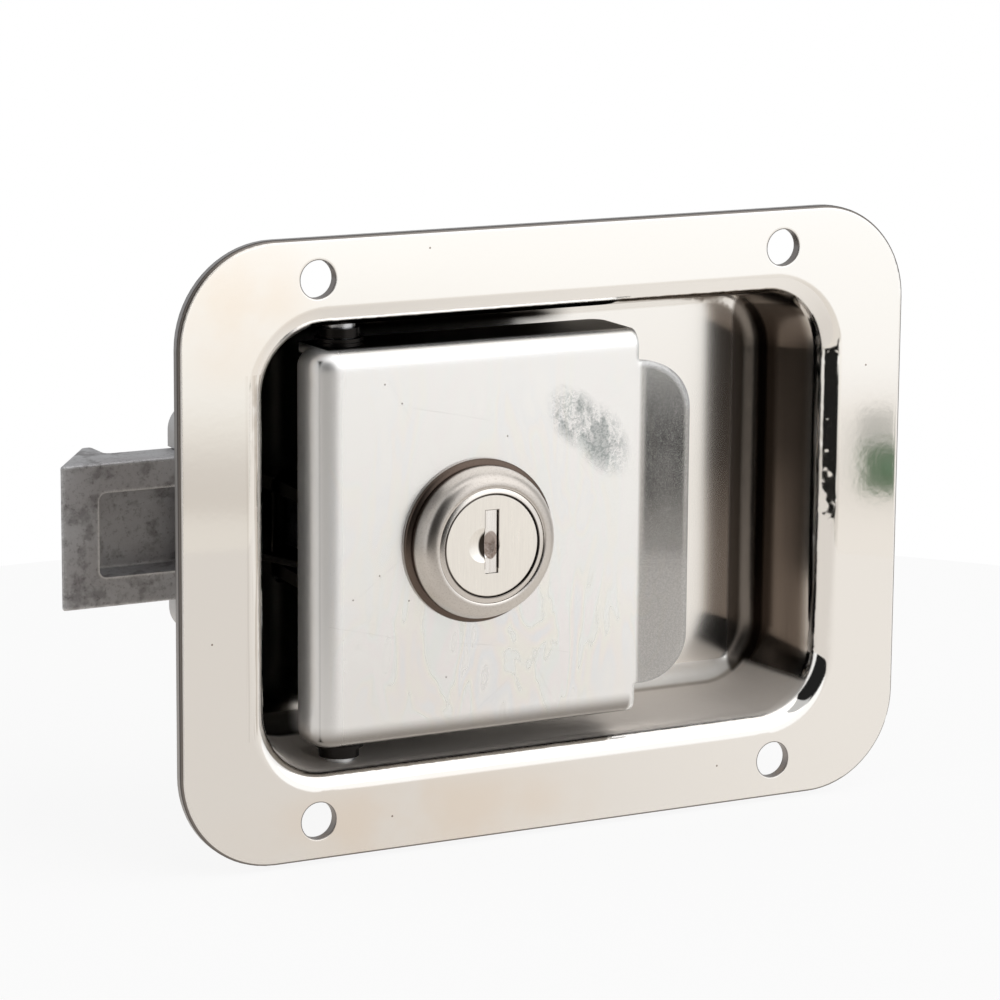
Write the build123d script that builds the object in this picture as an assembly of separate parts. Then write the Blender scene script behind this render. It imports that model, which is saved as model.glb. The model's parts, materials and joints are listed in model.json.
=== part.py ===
from build123d import *
from math import cos, radians, sin, sqrt
import os

# Flush paddle latch with a key lock and a spring-loaded slam bolt.
# Millimetres. X runs along the flange, away from the bolt; Y runs into the door; Z is up.
# The origin is the centre of the screw pattern, on the back face of the flange.

overshoot = 1.0                # how far a cutting tool runs past what it cuts
seam = 0.1                     # how far two forms of one piece run into each other

# ---- pan and flange -------------------------------------------------------------------
sheet = 1.5                    # stainless sheet of the flange and pan
flange_width = 122.0
flange_height = 92.4
flange_corner = 15.0
flange_edge_round = 0.6
screw_spacing_x = 78.1
screw_spacing_z = 80.4
screw_hole_diameter = 5.6
mouth_width = 94.0             # between the pan walls at the front face
mouth_height = 66.4
mouth_corner = 9.5
mouth_roll = 3.2               # radius of the rolled edge round the mouth
pan_depth = 19.0               # front face of the flange to the pan floor
wall_draft_x = 0.9             # how far each wall leans in by the time it meets the floor
wall_draft_z = 1.8
floor_fillet = 2.4

# ---- paddle ---------------------------------------------------------------------------
paddle_sheet = 1.5
paddle_proud = 1.5             # front of the paddle ahead of the front of the flange
paddle_left = -40.2
paddle_right = 13.2
paddle_side_gap = 1.9          # each side of the paddle, to the pan wall at the floor
paddle_side_depth = 12.5       # depth of the turned-back sides
paddle_side_bend = 2.5
paddle_lip_depth = 6.2         # depth of the rolled edge next to the hinge
paddle_lip_roll = 4.0
paddle_end_round = 2.2
side_relief = 2.4              # sides stop this far short of the rolled edge
tab_reach = 8.2
tab_shoulder = 4.7             # the tab is this much narrower than the paddle, each side
tab_corner = 7.5
tab_bend_radius = 8.0
tab_angle = 10.0               # the pull tab leans out of the face

# ---- hinge ----------------------------------------------------------------------------
hinge_x = -33.0
hinge_y = 4.3
hinge_pin_radius = 2.4
running_clearance = 0.05
hinge_head_radius = 3.2
hinge_head_height = 1.2
hinge_head_round = 0.8
hinge_tail = 0.4               # pin past its retainer
hinge_pin_chamfer = 0.4
hinge_seat_gap = 0.3           # under the pin's head, outside the pan wall
retainer_thickness = 0.8
retainer_radius = 3.5
retainer_notches = 3
retainer_notch_radius = 0.55
retainer_notch_depth = 0.5     # how far each notch's middle lies outside the pin
washer_thickness = 0.5
washer_radius = 3.6
washer_gap = 0.1
spacer_radius = 3.0
spacer_end_gap = 0.18
paddle_swing = 31.0            # degrees

# ---- crank ----------------------------------------------------------------------------
crank_sheet = 2.0
crank_inner_width = 10.8       # between the two arms
crank_hub_radius = 4.8
crank_tip_radius = 3.2
crank_reach = 23.4             # hinge axis to drive pin axis
crank_foot_left = 3.0          # foot of the crank, to the left of the hinge
crank_foot_right = 6.0
drive_pin_radius = 2.0
drive_pin_stand_out = 0.5
drive_pin_chamfer = 0.3
crank_slot_clearance = 0.8
crank_slot_corner = 1.6
crank_bend_radius = 1.2               # rounding where the arms turn into the foot

# ---- paddle spring --------------------------------------------------------------------
paddle_spring_wire = 1.0
paddle_spring_gap = 0.2        # between the coil and the hinge pin
paddle_spring_turns = 6.0
paddle_spring_pitch = 1.25
paddle_spring_floor_leg = 7.6  # how far the leg on the pan floor reaches left of the hinge
paddle_spring_paddle_leg = 3.9 # the same for the leg behind the paddle

# ---- bolt -----------------------------------------------------------------------------
bolt_tip_x = -69.1
bolt_half_height = 10.9
bolt_face_y = 23.7             # front face of the nose
bolt_rear_y = 31.0
bolt_ramp_x = -60.4            # top of the nose ramp
bolt_ramp_y = 36.6
bolt_hook_x = -58.7            # behind the ramp the nose drops to the shank
bolt_crest_round = 0.8
bolt_hook_fillet = 0.8
bolt_step_x = -44.0            # the thicker tail starts here
bolt_tail_end_x = -16.0
bolt_travel = 12.1
bolt_cast_round = 0.45
pocket_left = -62.9            # cored pocket in the front of the nose
pocket_right = -46.6
pocket_half_height = 6.4
pocket_corner = 1.2
pocket_depth = 4.6
pocket_draft = 6.0
push_clearance = 0.35          # drive pin to the wall that it pushes
window_left_clearance = 0.6
window_side_clearance = 0.9    # outside each crank arm
window_inner_clearance = 0.45  # inside each crank arm
arm_notch_depth = 2.4

# ---- bolt housing ---------------------------------------------------------------------
housing_left = -48.6
housing_right = 16.0
housing_half_height = 17.6
housing_floor = 1.8
housing_corner = 4.0
slide_clearance = 0.2
bridge_clearance = 0.3
end_wall = 2.0
lug_x = (-29.0, 8.0)
lug_z = 22.0
lug_radius = 4.6
lug_thickness = 2.6
rivet_radius = 2.0
rivet_head_radius = 3.4
rivet_head_height = 1.3
rivet_head_round = 1.0
cover_thickness = 1.2
cover_left = -46.0
cover_bead_depth = 0.8
cover_bead_width = 5.0
cover_bead_length = 43.6
cover_screw_radius = 1.1
cover_screw_head_radius = 1.9
cover_screw_head_height = 1.2
cover_screw_head_round = 0.6
cross_recess_length = 2.2
cross_recess_depth = 0.45
cross_recess_width = 0.45
cover_screw_length = 7.0
cover_screw_x = (-42.6, 12.4)

# ---- bolt spring ----------------------------------------------------------------------
bolt_spring_wire = 1.0
bolt_spring_radius = 3.3       # to the middle of the wire
bolt_spring_turns = 8.0
spring_bore_radius = 4.1
spring_bore_end_x = -24.4
guide_radius = 2.2
guide_tip_x = -10.0
guide_chamfer = 0.7
guide_stub_radius = 1.5
guide_rivet_radius = 2.6
guide_rivet_height = 0.9
fit_clearance = 0.03           # between pieces that are fixed together

# ---- lock -----------------------------------------------------------------------------
lock_x = -13.8
lock_front_y = -7.8
lock_rim_radius = 9.2
lock_rim_thickness = 1.0
lock_rim_chamfer = 0.3
barrel_radius = 8.6
barrel_flat = 7.6              # axis to each of the barrel's two flats
barrel_rear_y = 10.7
bezel_radius = 12.7
bezel_rim = 0.6                # height of the foot that lies on the paddle
bezel_groove_depth = 0.45      # the bulge stands back from the foot's edge
bezel_bulge_inset = 0.75       # the fullest point of the bulge, in from the foot's edge
bezel_bulge_drop = 1.25        # and down from the front of the ring
bezel_front_radius = 9.9
core_head_radius = 7.7
core_head_depth = 2.9
core_head_round = 0.25
core_recess = 0.2
core_radius = 6.2
core_gap = 0.08
keyway_width = 2.2
keyway_height = 9.5
keyway_offset_z = 0.6
keyway_rear_y = 8.7
dimple_radius = 2.6
dimple_depth = 0.55
dimple_offset_x = -1.3
dimple_offset_z = 0.2
wafer_count = 6
wafer_pitch = 1.9
wafer_first_y = -2.7
wafer_thickness = 0.8
wafer_width = 4.0
wafer_height = 11.0
wafer_round = 0.8
wafer_clearance = 0.08
wafer_window_width = 2.4
wafer_window_height = 6.4
wafer_spring_radius = 0.45
wafer_spring_length = 3.0
shutter_thickness = 0.5
shutter_clearance = 0.06
shutter_setback = 0.25
leaf_thickness = 0.2
leaf_length = 3.2
leaf_foot = 1.3                # part of the leaf that lies behind the flap
leaf_half_height = 1.6
tail_square = 5.0
tail_clearance = 0.06
stop_washer_radius = 8.0
stop_washer_thickness = 0.9
stop_inner_radius = 5.6
stop_peg_radius = 0.85
stop_peg_margin = 9.0          # degrees between the peg's axis and each end of its gap
core_turn = 90.0               # degrees
cam_thickness = 1.6
cam_hub_radius = 6.0
cam_half_width = 4.5
cam_reach = 17.0
stack_gap = 0.12
cam_screw_radius = 1.5
cam_screw_head_radius = 3.0
cam_screw_head_height = 1.5
cam_screw_head_round = 0.6
cam_screw_slot = 0.8
cam_screw_slot_depth = 0.7
cam_screw_end_gap = 0.3
cam_screw_length = 3.4
nut_across_flats = 22.0
nut_thickness = 3.0
nut_chamfer = 1.0
lock_washer_thickness = 1.0
lock_washer_radius = 11.0
lock_washer_teeth = 12
lock_washer_notch = 0.8
lock_washer_notch_width = 1.5
keeper_thickness = 1.5
keeper_half_width = 6.0
keeper_play = 0.45             # between the turned cam and the keeper's lip
keeper_tip_clearance = 0.9     # between the cam's tip and the keeper's web
keeper_lip = 6.0
keeper_lip_thickness = 1.2
keeper_foot = 7.0

# ---- places that follow from the sizes ------------------------------------------------
flange_front = -sheet
pan_floor_front = flange_front + pan_depth
pan_floor_back = pan_floor_front + sheet
floor_width = mouth_width - 2 * wall_draft_x
floor_height = mouth_height - 2 * wall_draft_z
paddle_height = floor_height - 2 * paddle_side_gap
tab_width = paddle_height - 2 * tab_shoulder
paddle_front = flange_front - paddle_proud
paddle_back = paddle_front + paddle_sheet
paddle_side_rear = paddle_front + paddle_side_depth
drive_y = hinge_y + crank_reach
crank_half = crank_inner_width / 2 + crank_sheet
slot_half_height = crank_half + crank_slot_clearance
housing_back = bolt_rear_y + slide_clearance
housing_floor_back = pan_floor_back + housing_floor
trough_half_height = bolt_half_height + slide_clearance
trough_right = housing_right - end_wall
bridge_right = bolt_step_x - bridge_clearance
bridge_back = bolt_face_y - slide_clearance
bolt_tail_front = housing_floor_back + slide_clearance
bolt_middle_y = (bolt_tail_front + bolt_rear_y) / 2
cover_back = housing_back + cover_thickness
core_front = lock_front_y + core_recess
core_step = core_front + core_head_depth
stop_peg_centre = (core_radius + core_gap + barrel_radius) / 2
stop_washer_front = barrel_rear_y + stack_gap
cam_front = stop_washer_front + stop_washer_thickness + stack_gap
cam_back = cam_front + cam_thickness
tail_end = cam_back + stack_gap / 2


def facing(y):
    """Plane that looks out of the door at depth y: sketch x is X, sketch y is Z."""
    return Plane.XZ.offset(-y)


def slab(sketch, front, back):
    """A sketch in X and Z, made solid between two depths."""
    return extrude(facing(back) * sketch, amount=back - front)


def block(x, y, z):
    """A box between pairs of limits."""
    return Pos((x[0] + x[1]) / 2, (y[0] + y[1]) / 2, (z[0] + z[1]) / 2) * Box(
        x[1] - x[0], y[1] - y[0], z[1] - z[0]
    )


def between(one, other):
    """Limits in rising order."""
    return min(one, other), max(one, other)


def rod_along_x(radius, start, end, y, z):
    return Pos((start + end) / 2, y, z) * Rot(0, 90, 0) * Cylinder(radius, end - start)


def rod_along_y(radius, start, end, x, z):
    return Pos(x, (start + end) / 2, z) * Rot(90, 0, 0) * Cylinder(radius, end - start)


def rod_along_z(radius, start, end, x, y):
    return Pos(x, y, (start + end) / 2) * Cylinder(radius, end - start)


def tube_along_z(outer, inner, start, end, x, y):
    return rod_along_z(outer, start, end, x, y) - rod_along_z(inner, start, end, x, y)


def edges_at_y(shape, y, tolerance=0.01):
    """Edges that lie wholly at depth y."""
    return shape.edges().filter_by(
        lambda edge: abs(edge.bounding_box().min.Y - y) < tolerance
        and abs(edge.bounding_box().max.Y - y) < tolerance
    )


def edges_within(shape, half_x, half_z):
    """Edges that stay within a middle rectangle."""
    return shape.filter_by(
        lambda edge: edge.bounding_box().max.X < half_x
        and edge.bounding_box().min.X > -half_x
        and edge.bounding_box().max.Z < half_z
        and edge.bounding_box().min.Z > -half_z
    )


def corner_places(spacing_x, spacing_z):
    return [(i * spacing_x / 2, j * spacing_z / 2) for i in (-1, 1) for j in (-1, 1)]


def lug_places():
    return [(x, side * lug_z) for x in lug_x for side in (-1, 1)]


def arm_sides(y, lean):
    """Left and right sides of a crank arm at depth y, with the paddle open by lean degrees."""
    reach = y - hinge_y
    tilt = radians(lean)
    taper = (crank_hub_radius - crank_tip_radius) / crank_reach
    half = crank_hub_radius - taper * reach
    middle = hinge_x + reach * sin(tilt) / cos(tilt)
    return middle - half / cos(tilt), middle + half / cos(tilt)


def crank_slot(y):
    """Left and right ends of the gap that the swinging crank arms need at depth y."""
    left = arm_sides(y, 0)[0] - crank_slot_clearance
    right = arm_sides(y, paddle_swing)[1] + crank_slot_clearance
    return left, right


def make_dish():
    flange = slab(RectangleRounded(flange_width, flange_height, flange_corner), flange_front, 0)
    flange = fillet(edges_at_y(flange, flange_front), flange_edge_round)
    mouth = RectangleRounded(mouth_width, mouth_height, mouth_corner)
    floor = RectangleRounded(floor_width, floor_height, mouth_corner)
    cavity = loft([facing(flange_front) * mouth, facing(pan_floor_front) * floor])
    cavity = fillet(edges_at_y(cavity, pan_floor_front), floor_fillet)
    outer_corner = mouth_corner + sheet
    outer_mouth = RectangleRounded(mouth_width + 2 * sheet, mouth_height + 2 * sheet, outer_corner)
    outer_floor = RectangleRounded(floor_width + 2 * sheet, floor_height + 2 * sheet, outer_corner)
    shell = loft([facing(flange_front) * outer_mouth, facing(pan_floor_back) * outer_floor])
    shell = fillet(edges_at_y(shell, pan_floor_back), floor_fillet + sheet)
    dish = flange + shell
    limit_x = mouth_width / 2 + mouth_roll
    limit_z = mouth_height / 2 + mouth_roll
    dish = fillet(edges_within(edges_at_y(dish, 0), limit_x, limit_z), mouth_roll - sheet)
    dish = dish - cavity
    dish = fillet(edges_within(edges_at_y(dish, flange_front), limit_x, limit_z), mouth_roll)
    for x, z in corner_places(screw_spacing_x, screw_spacing_z):
        dish -= rod_along_y(screw_hole_diameter / 2, flange_front - overshoot, overshoot, x, z)
    for x, z in lug_places():
        front = pan_floor_front - overshoot
        dish -= rod_along_y(rivet_radius + fit_clearance, front, pan_floor_back + overshoot, x, z)
    reach = flange_height / 2
    dish -= rod_along_z(hinge_pin_radius + fit_clearance, -reach, reach, hinge_x, hinge_y)
    left, right = crank_slot(pan_floor_back)
    slot = RectangleRounded(right - left, 2 * slot_half_height, crank_slot_corner)
    dish -= Pos((left + right) / 2, 0, 0) * slab(
        slot, pan_floor_front - overshoot, pan_floor_back + overshoot
    )
    return dish


def channel(left, right, front, rear, half_height, lip_roll, side_bend):
    """Solid block with the paddle's rolled front edges."""
    body = block((left, right), (front, rear), (-half_height, half_height))
    upright = body.edges().filter_by(Axis.Z)
    lip = upright.filter_by(
        lambda edge: edge.center().X < left + 0.01 and edge.center().Y < front + 0.01
    )
    body = fillet(lip, lip_roll)
    faces = body.faces().filter_by(lambda face: abs(abs(face.center().Z) - half_height) < 0.01)
    rims = faces.edges().filter_by(
        lambda edge: edge.center().Y < rear - 0.01 and edge.center().X < right - 0.01
    )
    return fillet(rims, side_bend)


def tab_profile():
    """Section of the pull tab in X and Y: flat at its root, then leaning out of the face."""
    lean = radians(tab_angle)
    centre = Vector(paddle_right, paddle_front - tab_bend_radius)
    outer_radius = tab_bend_radius + paddle_sheet
    straight = (tab_reach - tab_bend_radius * sin(lean)) / cos(lean)
    along = Vector(cos(lean), -sin(lean)) * straight

    def on_arc(radius, angle):
        return centre + Vector(sin(angle), cos(angle)) * radius

    front_bend = on_arc(tab_bend_radius, lean)
    back_bend = on_arc(outer_radius, lean)
    root_front = Vector(paddle_right - paddle_sheet, paddle_front)
    root_back = Vector(paddle_right - paddle_sheet, paddle_back)
    outline = Line(root_back, root_front)
    outline += Line(root_front, on_arc(tab_bend_radius, 0))
    outline += ThreePointArc(
        on_arc(tab_bend_radius, 0), on_arc(tab_bend_radius, lean / 2), front_bend
    )
    outline += Polyline(front_bend, front_bend + along, back_bend + along, back_bend)
    outline += ThreePointArc(back_bend, on_arc(outer_radius, lean / 2), on_arc(outer_radius, 0))
    outline += Line(on_arc(outer_radius, 0), root_back)
    return make_face(outline)


def make_paddle():
    half = paddle_height / 2
    outer = channel(
        paddle_left,
        paddle_right,
        paddle_front,
        paddle_side_rear,
        half,
        paddle_lip_roll,
        paddle_side_bend,
    )
    inner = channel(
        paddle_left + paddle_sheet,
        paddle_right + paddle_sheet,
        paddle_back,
        paddle_side_rear + paddle_sheet,
        half - paddle_sheet,
        paddle_lip_roll - paddle_sheet,
        paddle_side_bend - paddle_sheet,
    )
    shell = outer - inner
    lip_rear = paddle_front + paddle_lip_depth
    shell -= block(
        (paddle_left - overshoot, paddle_left + side_relief),
        (lip_rear, paddle_side_rear + overshoot),
        (-half - overshoot, half + overshoot),
    )
    ends = shell.edges().filter_by(Axis.Z).filter_by(
        lambda edge: edge.center().Y > paddle_side_rear - 0.01
    )
    shell = fillet(ends, paddle_end_round)
    tab = extrude(tab_profile(), amount=tab_width / 2, both=True)
    outline = Pos(paddle_right, 0) * RectangleRounded(2 * tab_reach, tab_width, tab_corner)
    tab = tab & slab(outline, paddle_front - tab_reach, paddle_back + tab_reach)
    paddle = shell + tab
    reach = paddle_height
    paddle -= rod_along_z(hinge_pin_radius + running_clearance, -reach, reach, hinge_x, hinge_y)
    paddle -= Pos(lock_x, 0, 0) * slab(
        barrel_hole(), paddle_front - overshoot, paddle_back + overshoot
    )
    return paddle


def make_paddle_crank():
    """Two arms and a foot, bent from one strip and welded behind the paddle."""
    hub = Pos(hinge_x, hinge_y) * Circle(crank_hub_radius)
    tip = Pos(hinge_x, drive_y) * Circle(crank_tip_radius)
    arm = make_hull(hub.edges() + tip.edges())
    foot_left = hinge_x - crank_foot_left
    foot_right = hinge_x + crank_foot_right
    arm += make_face(
        Polyline(
            (foot_left, paddle_back),
            (foot_right, paddle_back),
            (foot_right, paddle_back + crank_sheet),
            (hinge_x + crank_hub_radius, hinge_y),
            (foot_left, hinge_y),
            close=True,
        )
    )
    arm -= Pos(hinge_x, hinge_y) * Circle(hinge_pin_radius + running_clearance)
    arm -= Pos(hinge_x, drive_y) * Circle(drive_pin_radius + fit_clearance)
    arm_solid = extrude(arm, amount=crank_sheet)
    inner = crank_inner_width / 2
    crank = Pos(0, 0, inner) * arm_solid + Pos(0, 0, -crank_half) * arm_solid
    crank += block(
        (foot_left, foot_right), (paddle_back, paddle_back + crank_sheet), (-crank_half, crank_half)
    )
    bends = crank.edges().filter_by(Axis.X).filter_by(
        lambda edge: abs(abs(edge.center().Z) - crank_half) < 0.01
        and abs(edge.center().Y - paddle_back) < 0.01
    )
    return fillet(bends, crank_bend_radius)


def make_drive_pin():
    reach = crank_half + drive_pin_stand_out
    pin = rod_along_z(drive_pin_radius, -reach, reach, hinge_x, drive_y)
    return chamfer(pin.edges().filter_by(GeomType.CIRCLE), drive_pin_chamfer)


def wall_half_height(y):
    """Inner face of the pan's upper wall at depth y."""
    share = (y - flange_front) / pan_depth
    return (mouth_height + (floor_height - mouth_height) * share) / 2


def hinge_seat():
    """Where the pin's head and its retainer sit, outside the pan walls."""
    return wall_half_height(hinge_y - hinge_head_radius) + sheet + hinge_seat_gap


def make_hinge_pin():
    seat = hinge_seat()
    tail = -seat - retainer_thickness - hinge_tail
    pin = rod_along_z(hinge_pin_radius, tail, seat + seam, hinge_x, hinge_y)
    pin = chamfer(pin.edges().sort_by(Axis.Z)[0], hinge_pin_chamfer)
    head = rod_along_z(hinge_head_radius, seat, seat + hinge_head_height, hinge_x, hinge_y)
    head = fillet(head.edges().sort_by(Axis.Z)[-1], hinge_head_round)
    return pin + head


def make_pin_retainer():
    seat = hinge_seat()
    bore = hinge_pin_radius + fit_clearance
    ring = tube_along_z(
        retainer_radius, bore, -seat - retainer_thickness, -seat, hinge_x, hinge_y
    )
    notch = Cylinder(retainer_notch_radius, retainer_thickness * 3)
    for place in PolarLocations(hinge_pin_radius + retainer_notch_depth, retainer_notches):
        ring -= Pos(hinge_x, hinge_y, -seat) * place * notch
    return ring


def washer_seats():
    """Inner faces of the two washers on the upper side, counted from the paddle."""
    first = paddle_height / 2 + washer_gap
    return [first, first + washer_thickness + washer_gap]


def both_sides(shape):
    return [shape, mirror(shape, Plane.XY)]


def make_hinge_washers():
    washers = []
    for seat in washer_seats():
        washer = tube_along_z(
            washer_radius,
            hinge_pin_radius + running_clearance,
            seat,
            seat + washer_thickness,
            hinge_x,
            hinge_y,
        )
        washers += both_sides(washer)
    return Compound(washers)


def make_hinge_spacers():
    start = washer_seats()[-1] + washer_thickness + washer_gap
    end = wall_half_height(hinge_y + spacer_radius) - spacer_end_gap
    spacer = tube_along_z(
        spacer_radius, hinge_pin_radius + running_clearance, start, end, hinge_x, hinge_y
    )
    return Compound(both_sides(spacer))


def coil(radius, wire, turns, pitch):
    """Open coil along +Z from the origin, starting at +X."""
    path = Helix(pitch=pitch, height=pitch * turns, radius=radius)
    section = Plane(origin=path @ 0, z_dir=path % 0) * Circle(wire / 2)
    return sweep(section, path=path)


def make_paddle_spring():
    radius = hinge_pin_radius + paddle_spring_gap + paddle_spring_wire / 2
    height = paddle_spring_pitch * paddle_spring_turns
    wire_radius = paddle_spring_wire / 2
    spring = Pos(hinge_x, hinge_y, -height / 2) * Rot(0, 0, 180) * coil(
        radius, paddle_spring_wire, paddle_spring_turns, paddle_spring_pitch
    )
    lower = Vector(hinge_x - radius, hinge_y, -height / 2)
    upper = Vector(hinge_x - radius, hinge_y, height / 2)
    floor_end = Vector(
        hinge_x - paddle_spring_floor_leg, pan_floor_front - wire_radius, -height / 2
    )
    paddle_end = Vector(
        hinge_x - paddle_spring_paddle_leg, paddle_back + paddle_spring_wire, height / 2
    )
    for start, end in ((lower, floor_end), (upper, paddle_end)):
        leg = Line(start, end)
        spring += sweep(Plane(origin=start, z_dir=end - start) * Circle(wire_radius), path=leg)
        spring += Pos(start) * Sphere(wire_radius)
    return spring


def upright_at(shape, x, y):
    """The upright edge of a shape at a place."""
    return shape.edges().filter_by(Axis.Z).filter_by(
        lambda edge: abs(edge.center().X - x) < 0.01 and abs(edge.center().Y - y) < 0.01
    )


def make_latch_bolt():
    profile = Polyline(
        (bolt_tip_x, bolt_face_y),
        (bolt_step_x, bolt_face_y),
        (bolt_step_x, bolt_tail_front),
        (bolt_tail_end_x, bolt_tail_front),
        (bolt_tail_end_x, bolt_rear_y),
        (bolt_hook_x, bolt_rear_y),
        (bolt_hook_x, bolt_ramp_y),
        (bolt_ramp_x, bolt_ramp_y),
        close=True,
    )
    bolt = extrude(make_face(profile), amount=bolt_half_height, both=True)
    upright = bolt.edges().filter_by(Axis.Z).filter_by(
        lambda edge: edge.center().X < bolt_hook_x + 0.01
    )
    bolt = fillet(upright.sort_by(Axis.Y)[-2:], bolt_crest_round)
    bolt = fillet(upright_at(bolt, bolt_hook_x, bolt_rear_y), bolt_hook_fillet)
    bolt = fillet(upright_at(bolt, bolt_tip_x, bolt_face_y), bolt_cast_round)
    long_edges = bolt.edges().filter_by(
        lambda edge: abs(abs(edge.center().Z) - bolt_half_height) < 0.01
        and edge.center().X < bolt_step_x - 1
        and edge.center().Y < bolt_rear_y - 1
    )
    bolt = fillet(long_edges, bolt_cast_round)
    length = pocket_right - pocket_left
    opening = RectangleRounded(length, 2 * pocket_half_height, pocket_corner)
    pocket = extrude(
        facing(bolt_face_y) * opening, amount=-pocket_depth, taper=pocket_draft
    )
    bolt -= Pos((pocket_left + pocket_right) / 2, 0, 0) * pocket
    open_side = arm_sides(bolt_tail_front, paddle_swing)[0] - bolt_travel
    shut_side = arm_sides(bolt_tail_front, 0)[0]
    left = min(open_side, shut_side) - window_left_clearance
    wall = hinge_x + drive_pin_radius + push_clearance
    notch = wall + arm_notch_depth
    high = crank_half + window_side_clearance
    low = crank_inner_width / 2 - window_inner_clearance
    depth = (bolt_tail_front - overshoot, bolt_rear_y + overshoot)
    bolt -= block((left, wall), depth, (-high, high))
    for side in (-1, 1):
        bolt -= block((wall - overshoot, notch), depth, between(side * low, side * high))
    bolt -= rod_along_x(
        spring_bore_radius, spring_bore_end_x, bolt_tail_end_x + overshoot, bolt_middle_y, 0
    )
    return bolt


def make_bolt_housing():
    length = housing_right - housing_left
    middle = (housing_right + housing_left) / 2
    outline = Pos(middle, 0) * RectangleRounded(length, 2 * housing_half_height, housing_corner)
    housing = slab(outline, pan_floor_back, housing_back)
    lug_back = pan_floor_back + lug_thickness
    for x, z in lug_places():
        web = block(
            (x - lug_radius, x + lug_radius), (pan_floor_back, lug_back), between(0, z)
        )
        housing += web + rod_along_y(lug_radius, pan_floor_back, lug_back, x, z)
    inside = (-trough_half_height, trough_half_height)
    open_back = housing_back + overshoot
    housing -= block((bridge_right, trough_right), (housing_floor_back, open_back), inside)
    nose_way = (housing_left - overshoot, bridge_right + overshoot)
    housing -= block(nose_way, (bridge_back, open_back), inside)
    left, right = crank_slot(housing_floor_back)
    slot = RectangleRounded(right - left, 2 * slot_half_height, crank_slot_corner)
    housing -= Pos((left + right) / 2, 0, 0) * slab(
        slot, pan_floor_back - overshoot, housing_floor_back + overshoot
    )
    for x, z in lug_places():
        housing -= rod_along_y(
            rivet_radius + fit_clearance, pan_floor_back - overshoot, lug_back + overshoot, x, z
        )
    for x, z in cover_screw_places():
        start = housing_back - cover_screw_length
        housing -= rod_along_y(cover_screw_radius + fit_clearance, start, open_back, x, z)
    guide_end = housing_right + overshoot
    housing -= rod_along_x(
        guide_stub_radius + fit_clearance, trough_right - overshoot, guide_end, bolt_middle_y, 0
    )
    return housing


def cover_screw_places():
    z = (trough_half_height + housing_half_height) / 2
    return [(x, side * z) for x in cover_screw_x for side in (-1, 1)]


def make_housing_cover():
    length = housing_right - cover_left
    middle = (housing_right + cover_left) / 2
    outline = Pos(middle, 0) * RectangleRounded(length, 2 * housing_half_height, housing_corner)
    cover = slab(outline, housing_back, cover_back)
    bead = Pos(middle, 0) * SlotOverall(cover_bead_length, cover_bead_width)
    groove = Pos(middle, 0) * SlotOverall(
        cover_bead_length - cover_bead_depth, cover_bead_width - cover_bead_depth
    )
    cover += slab(bead, cover_back, cover_back + cover_bead_depth)
    cover -= slab(groove, housing_back - overshoot, housing_back + cover_bead_depth)
    for x, z in cover_screw_places():
        cover -= rod_along_y(
            cover_screw_radius + fit_clearance,
            housing_back - overshoot,
            cover_back + overshoot,
            x,
            z,
        )
    return cover


def make_cover_screws():
    screws = []
    for x, z in cover_screw_places():
        shank = rod_along_y(
            cover_screw_radius, cover_back - cover_screw_length, cover_back + seam, x, z
        )
        head_back = cover_back + cover_screw_head_height
        head = rod_along_y(cover_screw_head_radius, cover_back, head_back, x, z)
        head = fillet(edges_at_y(head, head_back), cover_screw_head_round)
        for turn in (0, 90):
            head -= Pos(x, head_back, z) * Rot(0, turn, 0) * Box(
                cross_recess_length, 2 * cross_recess_depth, cross_recess_width
            )
        screws.append(shank + head)
    return Compound(screws)


def make_housing_rivets():
    rivets = []
    front = pan_floor_front
    back = pan_floor_back + lug_thickness
    for x, z in lug_places():
        rivet = rod_along_y(rivet_radius, front - seam, back + seam, x, z)
        for start, end in ((front - rivet_head_height, front), (back, back + rivet_head_height)):
            head = rod_along_y(rivet_head_radius, start, end, x, z)
            outer_end = start if start < front else end
            rivet += fillet(edges_at_y(head, outer_end), rivet_head_round)
        rivets.append(rivet)
    return Compound(rivets)


def make_bolt_spring():
    start = spring_bore_end_x + bolt_spring_wire / 2 + fit_clearance
    end = trough_right - bolt_spring_wire / 2 - fit_clearance
    pitch = (end - start) / bolt_spring_turns
    spring = coil(bolt_spring_radius, bolt_spring_wire, bolt_spring_turns, pitch)
    return Pos(start, bolt_middle_y, 0) * Rot(0, 90, 0) * spring


def make_spring_guide():
    guide = rod_along_x(guide_radius, guide_tip_x, trough_right, bolt_middle_y, 0)
    tip = guide.edges().filter_by(GeomType.CIRCLE).sort_by(Axis.X)[0]
    guide = chamfer(tip, guide_chamfer)
    rivet_end = housing_right + guide_rivet_height
    guide += rod_along_x(guide_stub_radius, trough_right - seam, rivet_end, bolt_middle_y, 0)
    guide += rod_along_x(guide_rivet_radius, housing_right, rivet_end, bolt_middle_y, 0)
    return guide


def turned(points):
    """A ring or shaft about the lock's axis from (radius, depth) points."""
    face = make_face(Polyline(*points, close=True))
    return Pos(lock_x, 0, 0) * revolve(face, Axis.Y)


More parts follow.
